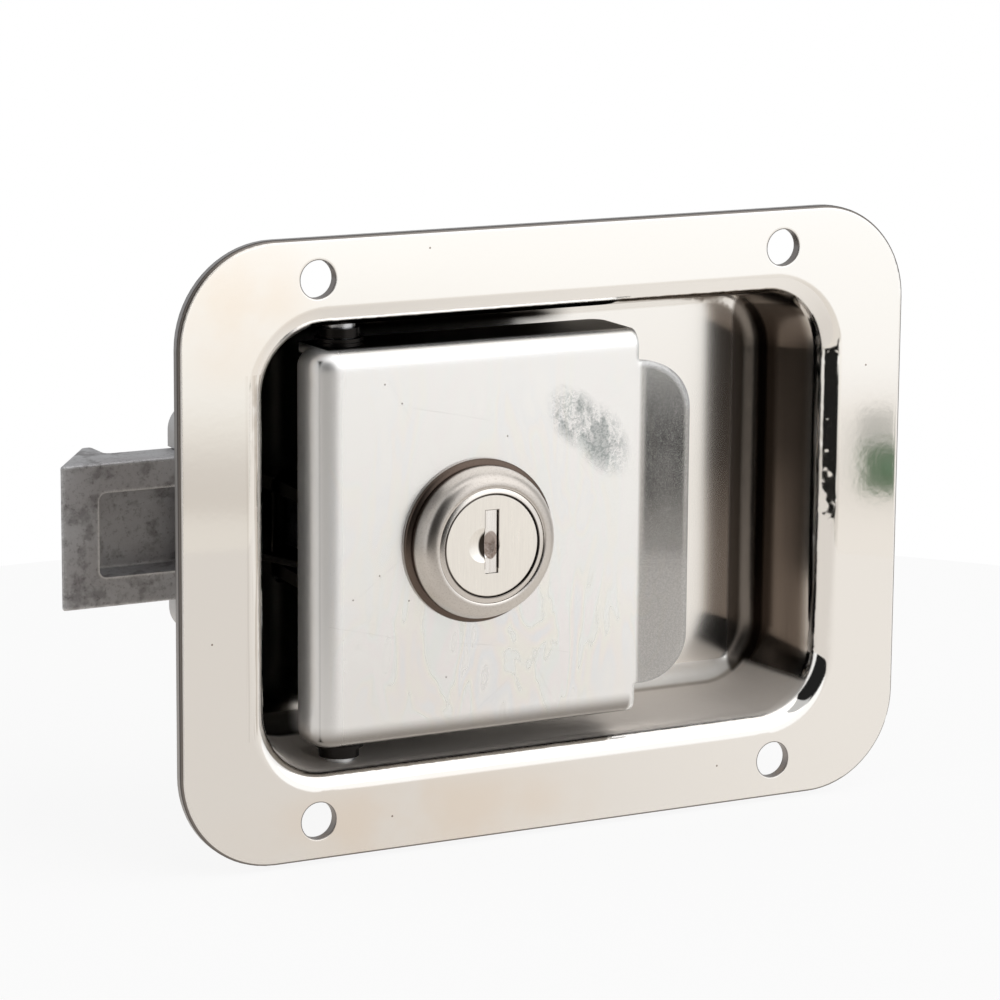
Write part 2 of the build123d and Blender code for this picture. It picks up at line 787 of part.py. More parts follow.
def make_lock_barrel():
    head_bore = core_head_radius + core_gap
    bore = core_radius + core_gap
    rim_back = lock_front_y + lock_rim_thickness
    points = [
        (head_bore, lock_front_y),
        (lock_rim_radius - lock_rim_chamfer, lock_front_y),
        (lock_rim_radius, lock_front_y + lock_rim_chamfer),
        (lock_rim_radius, rim_back),
        (barrel_radius, rim_back),
        (barrel_radius, barrel_rear_y),
        (bore, barrel_rear_y),
        (bore, core_step + core_gap),
        (head_bore, core_step + core_gap),
    ]
    barrel = turned(points)
    across = (lock_x - barrel_radius - overshoot, lock_x + barrel_radius + overshoot)
    for side in (-1, 1):
        flat = between(side * barrel_flat, side * (barrel_radius + overshoot))
        barrel -= block(across, (paddle_front, barrel_rear_y + overshoot), flat)
    peg_rear = stop_washer_front + stop_washer_thickness
    peg = rod_along_y(
        stop_peg_radius, barrel_rear_y - seam, peg_rear, lock_x - stop_peg_centre, 0
    )
    return barrel + peg


def make_lock_bezel():
    inner = barrel_radius + fit_clearance
    rear = paddle_front
    groove = bezel_radius - bezel_groove_depth
    shoulder = rear - bezel_rim
    bulge = (bezel_radius - bezel_bulge_inset, lock_front_y + bezel_bulge_drop)
    seat = lock_front_y + lock_rim_thickness
    counterbore = lock_rim_radius + fit_clearance
    outline = Polyline(
        (bezel_front_radius, lock_front_y),
        (counterbore, lock_front_y),
        (counterbore, seat),
        (inner, seat),
        (inner, rear),
        (bezel_radius, rear),
        (bezel_radius, shoulder),
        (groove, shoulder),
    )
    outline += ThreePointArc((groove, shoulder), bulge, (bezel_front_radius, lock_front_y))
    return Pos(lock_x, 0, 0) * revolve(make_face(outline), Axis.Y)


def keyway_cut(front, rear):
    z = keyway_offset_z
    half = keyway_width / 2
    top = keyway_height / 2
    return block((lock_x - half, lock_x + half), (front, rear), (z - top, z + top))


def key_dimple():
    """Shallow spherical thumb mark at the mouth of the keyway."""
    ball = (dimple_radius ** 2 + dimple_depth ** 2) / (2 * dimple_depth)
    centre = (lock_x + dimple_offset_x, core_front + dimple_depth - ball, dimple_offset_z)
    return Pos(centre) * Sphere(ball)


def wafer_depths():
    return [wafer_first_y + i * wafer_pitch for i in range(wafer_count)]


def make_lock_plug():
    head = rod_along_y(core_head_radius, core_front, core_step, lock_x, 0)
    head = fillet(edges_at_y(head, core_front), core_head_round)
    plug = head + rod_along_y(core_radius, core_step - seam, barrel_rear_y, lock_x, 0)
    half = tail_square / 2
    plug += block((lock_x - half, lock_x + half), (barrel_rear_y - seam, tail_end), (-half, half))
    plug -= keyway_cut(core_front - overshoot, keyway_rear_y)
    plug -= key_dimple()
    for y in wafer_depths():
        wide = wafer_width / 2 + wafer_clearance
        tall = core_radius + overshoot
        plug -= block(
            (lock_x - wide, lock_x + wide),
            (y - wafer_clearance, y + wafer_thickness + wafer_clearance),
            (-tall, tall),
        )
        spring_x = lock_x + wafer_width / 2 + wafer_spring_radius
        plug -= Pos(spring_x, y + wafer_thickness / 2, 0) * Cylinder(
            wafer_spring_radius + wafer_clearance, wafer_spring_length + 2 * wafer_clearance
        )
    plug -= rod_along_y(
        cam_screw_radius + fit_clearance,
        tail_end - cam_screw_length,
        tail_end + overshoot,
        lock_x,
        0,
    )
    return plug


def make_wafers():
    wafers = []
    for y in wafer_depths():
        half = wafer_width / 2
        tall = wafer_height / 2
        wafer = block((lock_x - half, lock_x + half), (y, y + wafer_thickness), (-tall, tall))
        wafer -= block(
            (lock_x - wafer_window_width / 2, lock_x + wafer_window_width / 2),
            (y - overshoot, y + wafer_thickness + overshoot),
            (
                keyway_offset_z - wafer_window_height / 2,
                keyway_offset_z + wafer_window_height / 2,
            ),
        )
        wafers.append(fillet(wafer.edges().filter_by(Axis.Y).sort_by(Axis.Z)[-2:], wafer_round))
    return Compound(wafers)


def make_wafer_springs():
    x = lock_x + wafer_width / 2 + wafer_spring_radius
    return Compound(
        [
            Pos(x, y + wafer_thickness / 2, 0) * Cylinder(wafer_spring_radius, wafer_spring_length)
            for y in wafer_depths()
        ]
    )


def shutter_axis():
    x = lock_x + keyway_width / 2 - shutter_clearance - shutter_thickness / 2
    y = core_front + shutter_setback + shutter_thickness / 2
    return x, y


def make_key_shutter():
    """Flap across the keyway's mouth, hung on its right-hand edge."""
    x, y = shutter_axis()
    half = keyway_height / 2 - shutter_clearance
    left = lock_x - keyway_width / 2 + shutter_clearance
    front = core_front + shutter_setback
    z = (keyway_offset_z - half, keyway_offset_z + half)
    flap = block((left, x), (front, front + shutter_thickness), z)
    flap += rod_along_z(shutter_thickness / 2, z[0], z[1], x, y)
    return flap - key_dimple()


def make_shutter_spring():
    """Leaf behind the flap, held against the keyway's left wall."""
    front = core_front + shutter_setback + shutter_thickness + shutter_clearance
    left = lock_x - keyway_width / 2 + fit_clearance
    low = keyway_offset_z - leaf_half_height
    high = keyway_offset_z + leaf_half_height
    profile = Polyline(
        (left, front + leaf_length),
        (left, front),
        (left + leaf_foot, front),
        (left + leaf_foot, front + leaf_thickness),
        (left + leaf_thickness, front + leaf_thickness),
        (left + leaf_thickness, front + leaf_length),
        close=True,
    )
    return Pos(0, 0, low) * extrude(make_face(profile), amount=high - low)


def square_hole(front, rear):
    half = tail_square / 2 + tail_clearance
    depth = (front - overshoot, rear + overshoot)
    return block((lock_x - half, lock_x + half), depth, (-half, half))


def make_stop_washer():
    """Disc with a gap in its rim that the barrel's peg runs in."""
    front = stop_washer_front
    rear = front + stop_washer_thickness
    washer = rod_along_y(stop_washer_radius, front, rear, lock_x, 0)
    start = 180 - stop_peg_margin
    span = core_turn + 2 * stop_peg_margin
    reach = stop_washer_radius + overshoot
    middle = start + span / 2

    def on_rim(angle):
        return reach * cos(radians(angle)), reach * sin(radians(angle))

    fan = Line((0, 0), on_rim(start))
    fan += ThreePointArc(on_rim(start), on_rim(middle), on_rim(start + span))
    fan += Line(on_rim(start + span), (0, 0))
    gap = make_face(fan) - Circle(stop_inner_radius)
    washer -= Pos(lock_x, 0, 0) * slab(gap, front - overshoot, rear + overshoot)
    return washer - square_hole(front, rear)


def make_lock_cam():
    tail = SlotOverall(2 * cam_reach, 2 * cam_half_width) & Pos(cam_reach / 2, 0) * Rectangle(
        cam_reach, 4 * cam_half_width
    )
    cam = Pos(lock_x, 0, 0) * slab(Circle(cam_hub_radius) + tail, cam_front, cam_back)
    return cam - square_hole(cam_front, cam_back)


def make_cam_screw():
    head_rear = cam_back + stack_gap + cam_screw_head_height
    head = rod_along_y(cam_screw_head_radius, cam_back + stack_gap, head_rear, lock_x, 0)
    head = fillet(edges_at_y(head, head_rear), cam_screw_head_round)
    reach = cam_screw_head_radius + overshoot
    head -= block(
        (lock_x - cam_screw_slot / 2, lock_x + cam_screw_slot / 2),
        (head_rear - cam_screw_slot_depth, head_rear + overshoot),
        (-reach, reach),
    )
    start = tail_end - cam_screw_length + cam_screw_end_gap
    shank = rod_along_y(cam_screw_radius, start, cam_back + stack_gap + seam, lock_x, 0)
    return head + shank


def barrel_hole():
    hole = Circle(barrel_radius + fit_clearance)
    return hole & Rectangle(4 * barrel_radius, 2 * (barrel_flat + fit_clearance))


def make_lock_washer():
    ring = Circle(lock_washer_radius)
    for i in range(lock_washer_teeth):
        notch = Pos(lock_washer_radius, 0) * Rectangle(2 * lock_washer_notch, lock_washer_notch_width)
        ring -= Rot(0, 0, 360 / lock_washer_teeth * i) * notch
    ring -= barrel_hole()
    return Pos(lock_x, 0, 0) * slab(ring, paddle_back, paddle_back + lock_washer_thickness)


def make_lock_nut():
    front = paddle_back + lock_washer_thickness
    rear = front + nut_thickness
    hexagon = RegularPolygon(nut_across_flats / 2, 6, major_radius=False)
    nut = Pos(lock_x, 0, 0) * slab(hexagon, front, rear)
    corner = nut_across_flats / sqrt(3)
    face = nut_across_flats / 2
    nut &= turned(
        [(0, front), (corner, front), (corner, rear - nut_chamfer), (face, rear), (0, rear)]
    )
    bore = barrel_radius + fit_clearance
    return nut - rod_along_y(bore, front - overshoot, rear + overshoot, lock_x, 0)


def make_lock_keeper():
    """Angle welded to the pan floor; the turned cam stands behind its lip."""
    lip_rear = cam_front - keeper_play
    lip_front = lip_rear - keeper_lip_thickness
    web_in = -(cam_reach + keeper_tip_clearance)
    web_out = web_in - keeper_thickness
    profile = Polyline(
        (lip_front, web_out),
        (lip_front, web_in + keeper_lip),
        (lip_rear, web_in + keeper_lip),
        (lip_rear, web_in),
        (pan_floor_front, web_in),
        (pan_floor_front, web_out - keeper_foot),
        (pan_floor_front - keeper_thickness, web_out - keeper_foot),
        (pan_floor_front - keeper_thickness, web_out),
        close=True,
    )
    section = Plane.YZ * make_face(profile)
    return Pos(lock_x, 0, 0) * extrude(section, amount=keeper_half_width, both=True)


MAKERS = [
    make_dish,
    make_paddle,
    make_paddle_crank,
    make_drive_pin,
    make_hinge_pin,
    make_pin_retainer,
    make_hinge_washers,
    make_hinge_spacers,
    make_paddle_spring,
    make_latch_bolt,
    make_bolt_housing,
    make_housing_rivets,
    make_housing_cover,
    make_cover_screws,
    make_bolt_spring,
    make_spring_guide,
    make_lock_barrel,
    make_lock_bezel,
    make_lock_plug,
    make_wafers,
    make_wafer_springs,
    make_key_shutter,
    make_shutter_spring,
    make_stop_washer,
    make_lock_cam,
    make_cam_screw,
    make_lock_washer,
    make_lock_nut,
    make_lock_keeper,
]


def main():
    os.makedirs("parts", exist_ok=True)
    for maker in MAKERS:
        node = maker.__name__.removeprefix("make_")
        export_step(maker(), "parts/" + node + ".step")


main()
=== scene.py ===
import bmesh
import bpy
import json
import math
from mathutils import Matrix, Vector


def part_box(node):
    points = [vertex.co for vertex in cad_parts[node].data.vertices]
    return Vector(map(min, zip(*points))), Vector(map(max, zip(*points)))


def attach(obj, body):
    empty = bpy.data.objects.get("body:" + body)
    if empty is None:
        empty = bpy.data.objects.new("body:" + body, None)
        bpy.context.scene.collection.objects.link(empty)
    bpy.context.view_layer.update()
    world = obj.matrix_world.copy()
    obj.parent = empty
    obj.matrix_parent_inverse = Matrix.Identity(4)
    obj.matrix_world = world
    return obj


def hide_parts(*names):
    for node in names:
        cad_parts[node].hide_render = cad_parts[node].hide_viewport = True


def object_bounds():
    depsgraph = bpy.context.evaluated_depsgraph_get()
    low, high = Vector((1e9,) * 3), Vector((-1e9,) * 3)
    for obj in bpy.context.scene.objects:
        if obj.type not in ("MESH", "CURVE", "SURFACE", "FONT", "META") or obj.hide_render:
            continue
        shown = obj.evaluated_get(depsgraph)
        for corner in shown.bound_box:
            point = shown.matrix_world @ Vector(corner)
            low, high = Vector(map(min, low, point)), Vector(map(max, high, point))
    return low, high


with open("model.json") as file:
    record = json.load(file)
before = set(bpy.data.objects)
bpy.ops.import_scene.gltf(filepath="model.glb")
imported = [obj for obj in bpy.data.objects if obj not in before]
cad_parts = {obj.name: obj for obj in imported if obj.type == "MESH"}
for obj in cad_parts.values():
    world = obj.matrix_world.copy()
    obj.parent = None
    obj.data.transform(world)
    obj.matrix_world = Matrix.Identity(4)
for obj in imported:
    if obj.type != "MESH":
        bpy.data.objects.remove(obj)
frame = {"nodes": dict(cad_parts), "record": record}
CAD_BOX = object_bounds()

bl_info = {
    "name": "Flush paddle latch",
    "version": (1, 0, 0),
    "blender": (4, 5, 0),
    "location": "3D View > Sidebar > Latch",
    "description": "Dresses the packed paddle latch with its finishes, fine parts and studio",
    "category": "Object",
}


class FLANGE:
    """Places on the pressed pan that its finish follows, in metres."""

    lowest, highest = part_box("dish")
    screws = frame["record"]["mounts"][0]["dims"]
    x = highest[0] - lowest[0]
    z = highest[2] - lowest[2]
    face = lowest[1]
    corner = 0.015
    mouth_x = 0.094
    wall_z = 0.0285
    end_fillet = (0.0418, 0.0466)
    floor = face + 0.019
    screw_x = screws["spacing_x_mm"] / 2000
    screw_z = screws["spacing_y_mm"] / 2000
    screw_r = screws["hole_r_mm"] / 1000
    specks = [
        (-0.0211, 0.0437),
        (0.029, -0.04),
        (-0.027, -0.041),
        (-0.056, -0.0118),
        (0.0545, 0.021),
    ]
    heat_patches = [((-0.052, 0.037), (0.010, 0.009)), ((-0.022, -0.042), (0.026, 0.006))]
    draw_lines_x = (-0.0505, -0.0478)
    draw_lines_z = 0.027


class LOCK:
    """Places on the lock's face, in metres."""

    lowest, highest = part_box("lock_bezel")
    foot = (highest[0] - lowest[0]) / 2
    x = lowest[0] + foot
    front = lowest[1]
    seat = highest[1]
    plug = (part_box("lock_plug")[1][0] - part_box("lock_plug")[0][0]) / 2
    core = 0.0062
    barrel = 0.0086
    barrel_flat = 0.0076
    barrel_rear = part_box("lock_barrel")[1][1]


class PADDLE:
    """Places on the paddle that its finish follows, in metres."""

    lowest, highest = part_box("paddle")
    face = LOCK.seat
    tab_x = 0.0136
    wet = ((-0.010, -0.016), (0.024, 0.0125))
    glow = ((-0.012, 0.004), (0.03, 0.024))
    # Patches of the rub and its painted reflection.
    rub_reflections = [((0.0094, 0.017), (0.0036, 0.004)), ((0.0122, 0.0138), (0.0036, 0.0048))]
    specks = [
        (-0.0299, -0.0039),
        (-0.0342, -0.0071),
        (-0.0251, -0.0081),
        (-0.0189, -0.0203),
        (-0.0089, 0.0152),
        (-0.0263, 0.0214),
        (-0.0291, 0.0244),
    ]


WHITE = (1, 1, 1)
BLACK = (0, 0, 0)
JOINT_DIRT = (0.16, 0.14, 0.13)
DEEP_SHADE = (0.07, 0.065, 0.06)


# ---- shader helpers ---------------------------------------------------------------------


class Value:
    """A shader output that Python arithmetic can work on."""

    def __init__(self, finish, socket):
        self.finish = finish
        self.socket = socket

    def maths(self, operation, *others):
        """A Math node with this value first."""
        values = dict(enumerate((self, *others)))
        return self.finish.add("ShaderNodeMath", {"operation": operation}, values)["Value"]

    def flipped(self, operation, other):
        """A Math node with this value second."""
        values = {0: other, 1: self}
        return self.finish.add("ShaderNodeMath", {"operation": operation}, values)["Value"]

    def __add__(self, other):
        return self.maths("ADD", other)

    def __radd__(self, other):
        return self.flipped("ADD", other)

    def __sub__(self, other):
        return self.maths("SUBTRACT", other)

    def __rsub__(self, other):
        return self.flipped("SUBTRACT", other)

    def __mul__(self, other):
        return self.maths("MULTIPLY", other)

    def __rmul__(self, other):
        return self.flipped("MULTIPLY", other)

    def __truediv__(self, other):
        return self.maths("DIVIDE", other)

    def __abs__(self):
        return self.maths("ABSOLUTE")

    def above(self, edge, soft):
        """1 where the value is over an edge, with a smooth step of the given width."""
        return self.finish.add(
            "ShaderNodeMapRange",
            {"interpolation_type": "SMOOTHSTEP"},
            {"Value": self, "From Min": edge - soft / 2, "From Max": edge + soft / 2},
        )["Result"]

    def within(self, low, high, soft):
        """1 between two edges, with smooth steps of the given width."""
        return self.above(low, soft) * (1 - self.above(high, soft))

    def positive(self):
        return self.maths("MAXIMUM", 0.0)

    def root(self):
        return self.maths("SQRT")


class Finish:
    """One node tree, for a material or for the world."""

    def __init__(self, owner):
        owner.use_nodes = True
        self.tree = owner.node_tree
        self.tree.nodes.clear()
        self.owner = owner

    def add(self, kind, settings=None, values=None):
        """Adds a node, sets it, feeds its sockets and returns its outputs by name."""
        node = self.tree.nodes.new(kind)
        for name, setting in (settings or {}).items():
            setattr(node, name, setting)
        for name, value in (values or {}).items():
            self.feed(self.input_of(node, name), value)
        self.last = node
        return {out.name: Value(self, out) for out in node.outputs if out.enabled}

    @staticmethod
    def input_of(node, name):
        if isinstance(name, int):
            return node.inputs[name]
        return next(s for s in node.inputs if s.name == name and s.enabled)

    def feed(self, socket, value):
        """Links a value to a socket, or sets the socket to a plain number or colour."""
        if isinstance(value, Value):
            self.tree.links.new(value.socket, socket)
        else:
            socket.default_value = value

    def ramp(self, factor, stops):
        """A colour ramp from (place, colour) stops."""
        out = self.add("ShaderNodeValToRGB", None, {"Fac": factor})["Color"]
        elements = self.last.color_ramp.elements
        while len(elements) < len(stops):
            elements.new(0.5)
        for element, (place, colour) in zip(elements, stops):
            element.position = place
            element.color = (*colour, 1)
        return out

    def blend(self, factor, one, other):
        """Mixes two colours."""
        settings = {"data_type": "RGBA"}
        values = {"Factor": factor, "A": self.colour(one), "B": self.colour(other)}
        return self.add("ShaderNodeMix", settings, values)["Result"]

    @staticmethod
    def colour(value):
        return value if isinstance(value, Value) else (*value, 1)

    def place(self, turn=(0, 0, 0), stretch=(1, 1, 1), shift=(0, 0, 0)):
        """The point on the object, in metres, turned and stretched for a pattern."""
        coordinates = self.add("ShaderNodeTexCoord")["Object"]
        values = {"Vector": coordinates, "Location": shift, "Rotation": turn, "Scale": stretch}
        return self.add("ShaderNodeMapping", None, values)["Vector"]

    def noise(self, size, where=None, detail=3.0, rough=0.5, distort=0.0):
        """Cloudy noise whose features are about the given size in metres."""
        values = {
            "Vector": where if where is not None else self.place(),
            "Scale": 1 / size,
            "Detail": detail,
            "Roughness": rough,
            "Distortion": distort,
        }
        return self.add("ShaderNodeTexNoise", None, values)["Fac"]

    def axes(self):
        """The three coordinates of the point, in metres."""
        split = self.add("ShaderNodeSeparateXYZ", None, {"Vector": self.place()})
        return split["X"], split["Y"], split["Z"]

    def patch(self, first, second, centre, radii, soft=0.5):
        """1 inside an ellipse on two of the coordinates, fading out over its rim."""
        one = (first - centre[0]) / radii[0]
        other = (second - centre[1]) / radii[1]
        reach = (one * one + other * other).root()
        return 1 - reach.above(1.0, soft)

    def dots(self, first, second, places, radius):
        """Small round marks at the given places."""
        total = 0
        for place in places:
            total = total + self.patch(first, second, place, (radius, radius), 0.6)
        return total

    def tinted(self, factor, base, colour):
        """Multiplies a colour by another where the factor is 1."""
        settings = {"data_type": "RGBA", "blend_type": "MULTIPLY"}
        values = {"Factor": factor, "A": self.colour(base), "B": self.colour(colour)}
        return self.add("ShaderNodeMix", settings, values)["Result"]

    def bump(self, height, depth, normal=None):
        """Raises the surface by height times depth, in metres."""
        values = {"Height": height, "Distance": depth, "Strength": 1.0}
        if normal is not None:
            values["Normal"] = normal
        return self.add("ShaderNodeBump", None, values)["Normal"]

    def surface(self, **values):
        """Ends the finish with its shader, and returns its material."""
        named = {name.replace("_", " ").title(): value for name, value in values.items()}
        for name, value in named.items():
            if name == "Base Color":
                named[name] = self.colour(value)
        shader = self.add("ShaderNodeBsdfPrincipled", None, named)["BSDF"]
        self.add("ShaderNodeOutputMaterial", None, {"Surface": shader})
        return self.owner


def new_finish(name):
    return Finish(bpy.data.materials.new(f"{name}_finish"))


def made_finish(name):
    """The material that the finishes operator has made under this name."""
    return bpy.data.materials[f"{name}_finish"]


def radius_from(axis_x, across, up):
    """Distance from an axis that runs front to back through (axis_x, 0)."""
    out = across - axis_x
    return (out * out + up * up).root()


# ---- finishes ---------------------------------------------------------------------------


def polished_stainless(colours):
    """Pressed mirror-polished sheet: heat tints, draw lines, a darker rim, painted shade in the pan,
    a painted dark reflection on the front edge.
    """
    nodes = new_finish("polished_stainless")
    across, depth, up = nodes.axes()
    reach = past_outline(across, up)
    hole = 1 - from_screws(across, up).above(FLANGE.screw_r + 0.00012, 0.0001)
    clouds = nodes.noise(0.02, detail=4)
    inside = depth.above(FLANGE.face + 0.0035, 0.005)
    wall = inside * (1 - depth.above(FLANGE.floor - 0.0012, 0.0008))
    fillet = across.within(*FLANGE.end_fillet, 0.0008) * depth.above(FLANGE.floor - 0.0034, 0.001)
    left = (0 - across).above(FLANGE.mouth_x / 2 - 0.0042, 0.0006) * wall
    low = (0 - up).above(FLANGE.wall_z, 0.0012) * depth.above(FLANGE.face + 0.0016, 0.0008)
    rim = reach.above(-0.00012, 0.0002) * depth.above(FLANGE.face + 0.0003, 0.0004)
    corner = reach.above(-0.00036, 0.0001) * (1 - depth.above(FLANGE.face + 0.0005, 0.0002))

    straw = heat_patches(nodes, across, up) * clouds.above(0.42, 0.3) * 0.55
    base = nodes.tinted(straw, colours.polished_steel, colours.heat_tint)
    for mask, colour in pan_shades(nodes, colours, across, depth, up, wall, fillet):
        base = nodes.tinted(mask, base, colour)
    base = nodes.blend(left, base, colours.left_wall)
    base = nodes.blend(low * (1 - depth.above(FLANGE.floor - 0.002, 0.001)), base, colours.low_wall)
    base = nodes.tinted(draw_lines(nodes, across, depth, up) * 0.8, base, (0.66, 0.62, 0.58))
    specks = nodes.dots(across, up, FLANGE.specks, 0.00015) * (1 - inside)
    base = nodes.tinted(specks, base, (0.35, 0.31, 0.28))
    base = nodes.blend(rim, base, colours.cut_edge)
    base = nodes.blend(hole, base, colours.hole_edge)
    # Painted dark reflection: a thin dark line along the rounded front edge of the outline.
    base = nodes.tinted(corner * 0.85, base, (0.13, 0.11, 0.1))

    edge = reach.above(-0.0006, 0.0002) * (1 - depth.above(FLANGE.face + 0.0006, 0.0003))
    grit = nodes.noise(0.0005, nodes.place(stretch=(0.4, 1, 1)), detail=3)
    rough = 0.03 + clouds * 0.015 + inside * 0.12 + rim * 0.25 + hole * 0.3
    rough = rough + edge * 0.35 + left * 0.4 + low * (0.45 + grit * 0.2) + fillet * 0.15

    bent = reach.above(-0.0011, 0.0004)
    bent = bent.maths("MAXIMUM", depth.above(FLANGE.face + 0.00004, 0.0002))
    peel = nodes.noise(0.0013, detail=2) * (1 - bent)
    normal = nodes.add("ShaderNodeBevel", {"samples": 6}, {"Radius": 0.0005})["Normal"]
    normal = nodes.bump(nodes.noise(0.03, detail=1), 0.00002, normal)
    normal = nodes.bump(peel, 0.000001, normal)
    return nodes.surface(base_color=base, metallic=1.0, roughness=rough, normal=normal)


def past_outline(across, up):
    """How far a point lies past the flange's rounded outline, less than 0 inside it."""
    side_x = (abs(across) - (FLANGE.x / 2 - FLANGE.corner)).positive()
    side_z = (abs(up) - (FLANGE.z / 2 - FLANGE.corner)).positive()
    return (side_x * side_x + side_z * side_z).root() - FLANGE.corner


def from_screws(across, up):
    """Distance from the nearest screw hole's middle."""
    hole_x = abs(across) - FLANGE.screw_x
    hole_z = abs(up) - FLANGE.screw_z
    return (hole_x * hole_x + hole_z * hole_z).root()


def heat_patches(nodes, across, up):
    """The straw-coloured stretches of the flange."""
    first, second = [nodes.patch(across, up, *patch, 1.2) for patch in FLANGE.heat_patches]
    return first.maths("MAXIMUM", second)


def draw_lines(nodes, across, depth, up):
    """Upright drag marks on the flange, left of the mouth."""
    lines = nodes.noise(0.0006, nodes.place(stretch=(1, 1, 0.012)), detail=3, rough=0.6)
    drawn = across.within(*FLANGE.draw_lines_x, 0.0006)
    drawn = drawn * abs(up).maths("LESS_THAN", FLANGE.draw_lines_z)
    drawn = drawn * depth.above(FLANGE.face + 0.00005, 0.0003)
    return drawn * lines.above(0.52, 0.1)


def pan_shades(nodes, colours, across, depth, up, wall, fillet):
    """Masks and colours of painted shade on the pan's drawn walls, ends, fillet, mouth and deep
    corners.
    """
    ends = across.above(FLANGE.mouth_x / 2 - 0.0038, 0.0006) * wall
    streak = nodes.noise(0.006, nodes.place(stretch=(1, 1, 0.1)), detail=3).above(0.5, 0.25)
    shade = depth.above(FLANGE.face + 0.0019, 0.0026) * up.above(0.032, 0.002)
    gloom = up.above(FLANGE.wall_z, 0.002) * depth.above(FLANGE.face + 0.004, 0.003)
    pocket = (0 - across).above(0.034, 0.003) * depth.above(FLANGE.face + 0.006, 0.003)
    return [
        # Painted shade: the pan's walls darkened as if shadowed.
        (wall, colours.pan_wall_shade),
        # Painted shade on the pan's ends, with lighter streaks left through it.
        (ends, colours.pan_end_shade),
        (ends * (1 - streak) * 0.5, (0.55, 0.52, 0.5)),
        (shade, (0.2, 0.19, 0.18)),
        # Painted shade over the end fillets, hiding their bright line.
        (fillet, (0.26, 0.235, 0.215)),
        (gloom * (1 - across.above(0.01, 0.008)), DEEP_SHADE),
        (pocket, DEEP_SHADE),
    ]


def satin_stainless(colours):
    """Satin sheet: haze, oil colours, dried runs, a rub mark with a painted grey-green reflection,
    painted shade on back and underside, a painted dark reflection on the tab.
    """
    nodes = new_finish("satin_stainless")
    lowest, highest, face = PADDLE.lowest, PADDLE.highest, PADDLE.face
    across, depth, up = nodes.axes()
    front = 1 - depth.above(face + 0.0004, 0.0002)
    haze = nodes.noise(0.00014, detail=1).above(0.6, 0.1)
    warp = nodes.noise(0.006, nodes.place(shift=(1, 0, 4)), detail=2)
    runs = nodes.noise(0.0075, nodes.place(stretch=(1, 1, 0.3)), detail=2, distort=1.2)
    film = nodes.ramp(
        runs,
        [
            (0.36, WHITE),
            (0.4, (0.92, 0.95, 1)),
            (0.44, (1, 0.95, 0.93)),
            (0.48, (1, 0.99, 0.91)),
            (0.52, (0.94, 0.99, 0.99)),
            (0.57, (1, 0.96, 0.98)),
            (0.62, WHITE),
        ],
    )
    wet = nodes.patch(across, up, *PADDLE.wet, 0.9) * front
    glow = nodes.patch(across, up, *PADDLE.glow, 0.9) * front
    base = nodes.tinted((wet * 0.62).maths("MAXIMUM", glow * 0.3), colours.satin_steel, film)
    outline = (runs * 7).maths("FRACT").within(0.47, 0.53, 0.05) * wet
    base = nodes.tinted(outline * 0.35, base, (0.8, 0.79, 0.78))
    # A rougher rub whose colour is a painted grey-green reflection.
    rub = rub_and_painted_reflection(nodes, across, up) * front
    base = nodes.tinted(rub, base, colours.rub_and_painted_reflection)
    scratches = long_scratches(nodes, across, up) * front
    base = nodes.tinted(scratches * 0.3, base, (0.75, 0.74, 0.73))
    specks = nodes.dots(across, up, PADDLE.specks, 0.00013) * front
    base = nodes.tinted(specks, base, (0.4, 0.36, 0.34))
    base = nodes.tinted(haze * front * 0.16, base, (0.7, 0.7, 0.7))
    # Painted shade: the paddle's back and sides turned near black.
    body = across.above(lowest[0] + 0.0032, 0.0006)
    sides = depth.above(face + 0.0026, 0.0016) * body
    inner = across.above(lowest[0] + 0.0012, 0.0004)
    inner = inner * (1 - abs(up).above(highest[2] - 0.0012, 0.0004))
    behind = (depth.above(face + 0.0012, 0.0004) * inner).maths("MAXIMUM", sides)
    base = nodes.blend(behind, base, colours.paddle_back_shade)
    # Painted shade on the underside bend of the paddle.
    under = (0 - up).above(0 - lowest[2] - 0.0024, 0.0026) * (1 - across.above(0.0125, 0.0008))
    base = nodes.tinted(under, base, (0.34, 0.32, 0.3))
    # Painted dark reflection on the tab, which halves its colour, speckled with grime.
    tab = across.above(PADDLE.tab_x, 0.0008)
    grime_and_shade = nodes.noise(0.00026, nodes.place(shift=(2, 0, 0)), detail=3, rough=0.7).above(0.5, 0.2)
    base = nodes.tinted(tab * (0.88 + grime_and_shade * 0.12), base, (0.5, 0.5, 0.5))
    lip = 1 - across.above(lowest[0] + 0.004, 0.003)
    rough = 0.2 + warp * 0.06 + rub * 0.2 + outline * 0.06 + lip * 0.14 - tab * 0.15 + behind * 0.15
    normal = nodes.add("ShaderNodeBevel", {"samples": 6}, {"Radius": 0.0013})["Normal"]
    normal = nodes.bump(haze, 0.0000008, normal)
    normal = nodes.bump(nodes.noise(0.02, detail=1), 0.00003, normal)
    metal = 0.82 + tab * 0.16 + behind * 0.17 * (1 - tab)
    return nodes.surface(base_color=base, metallic=metal, roughness=rough, normal=normal)


def rub_and_painted_reflection(nodes, across, up):
    """A slanted, blotchy rub between the lock and the upper right corner, which also carries a
    painted grey-green reflection.
    """
    slanted = across + up * 0.4
    first, second = [nodes.patch(slanted, up, *patch, 0.9) for patch in PADDLE.rub_reflections]
    turned = nodes.place(turn=(0, 0.7, 0), stretch=(1, 1, 0.6))
    blots = nodes.noise(0.0034, turned, detail=4, rough=0.6)
    grain = nodes.noise(0.00035, detail=3, rough=0.7)
    share = 0.12 + blots.above(0.47, 0.1) * 0.55 + grain.above(0.52, 0.1) * 0.45
    return first.maths("MAXIMUM", second) * share


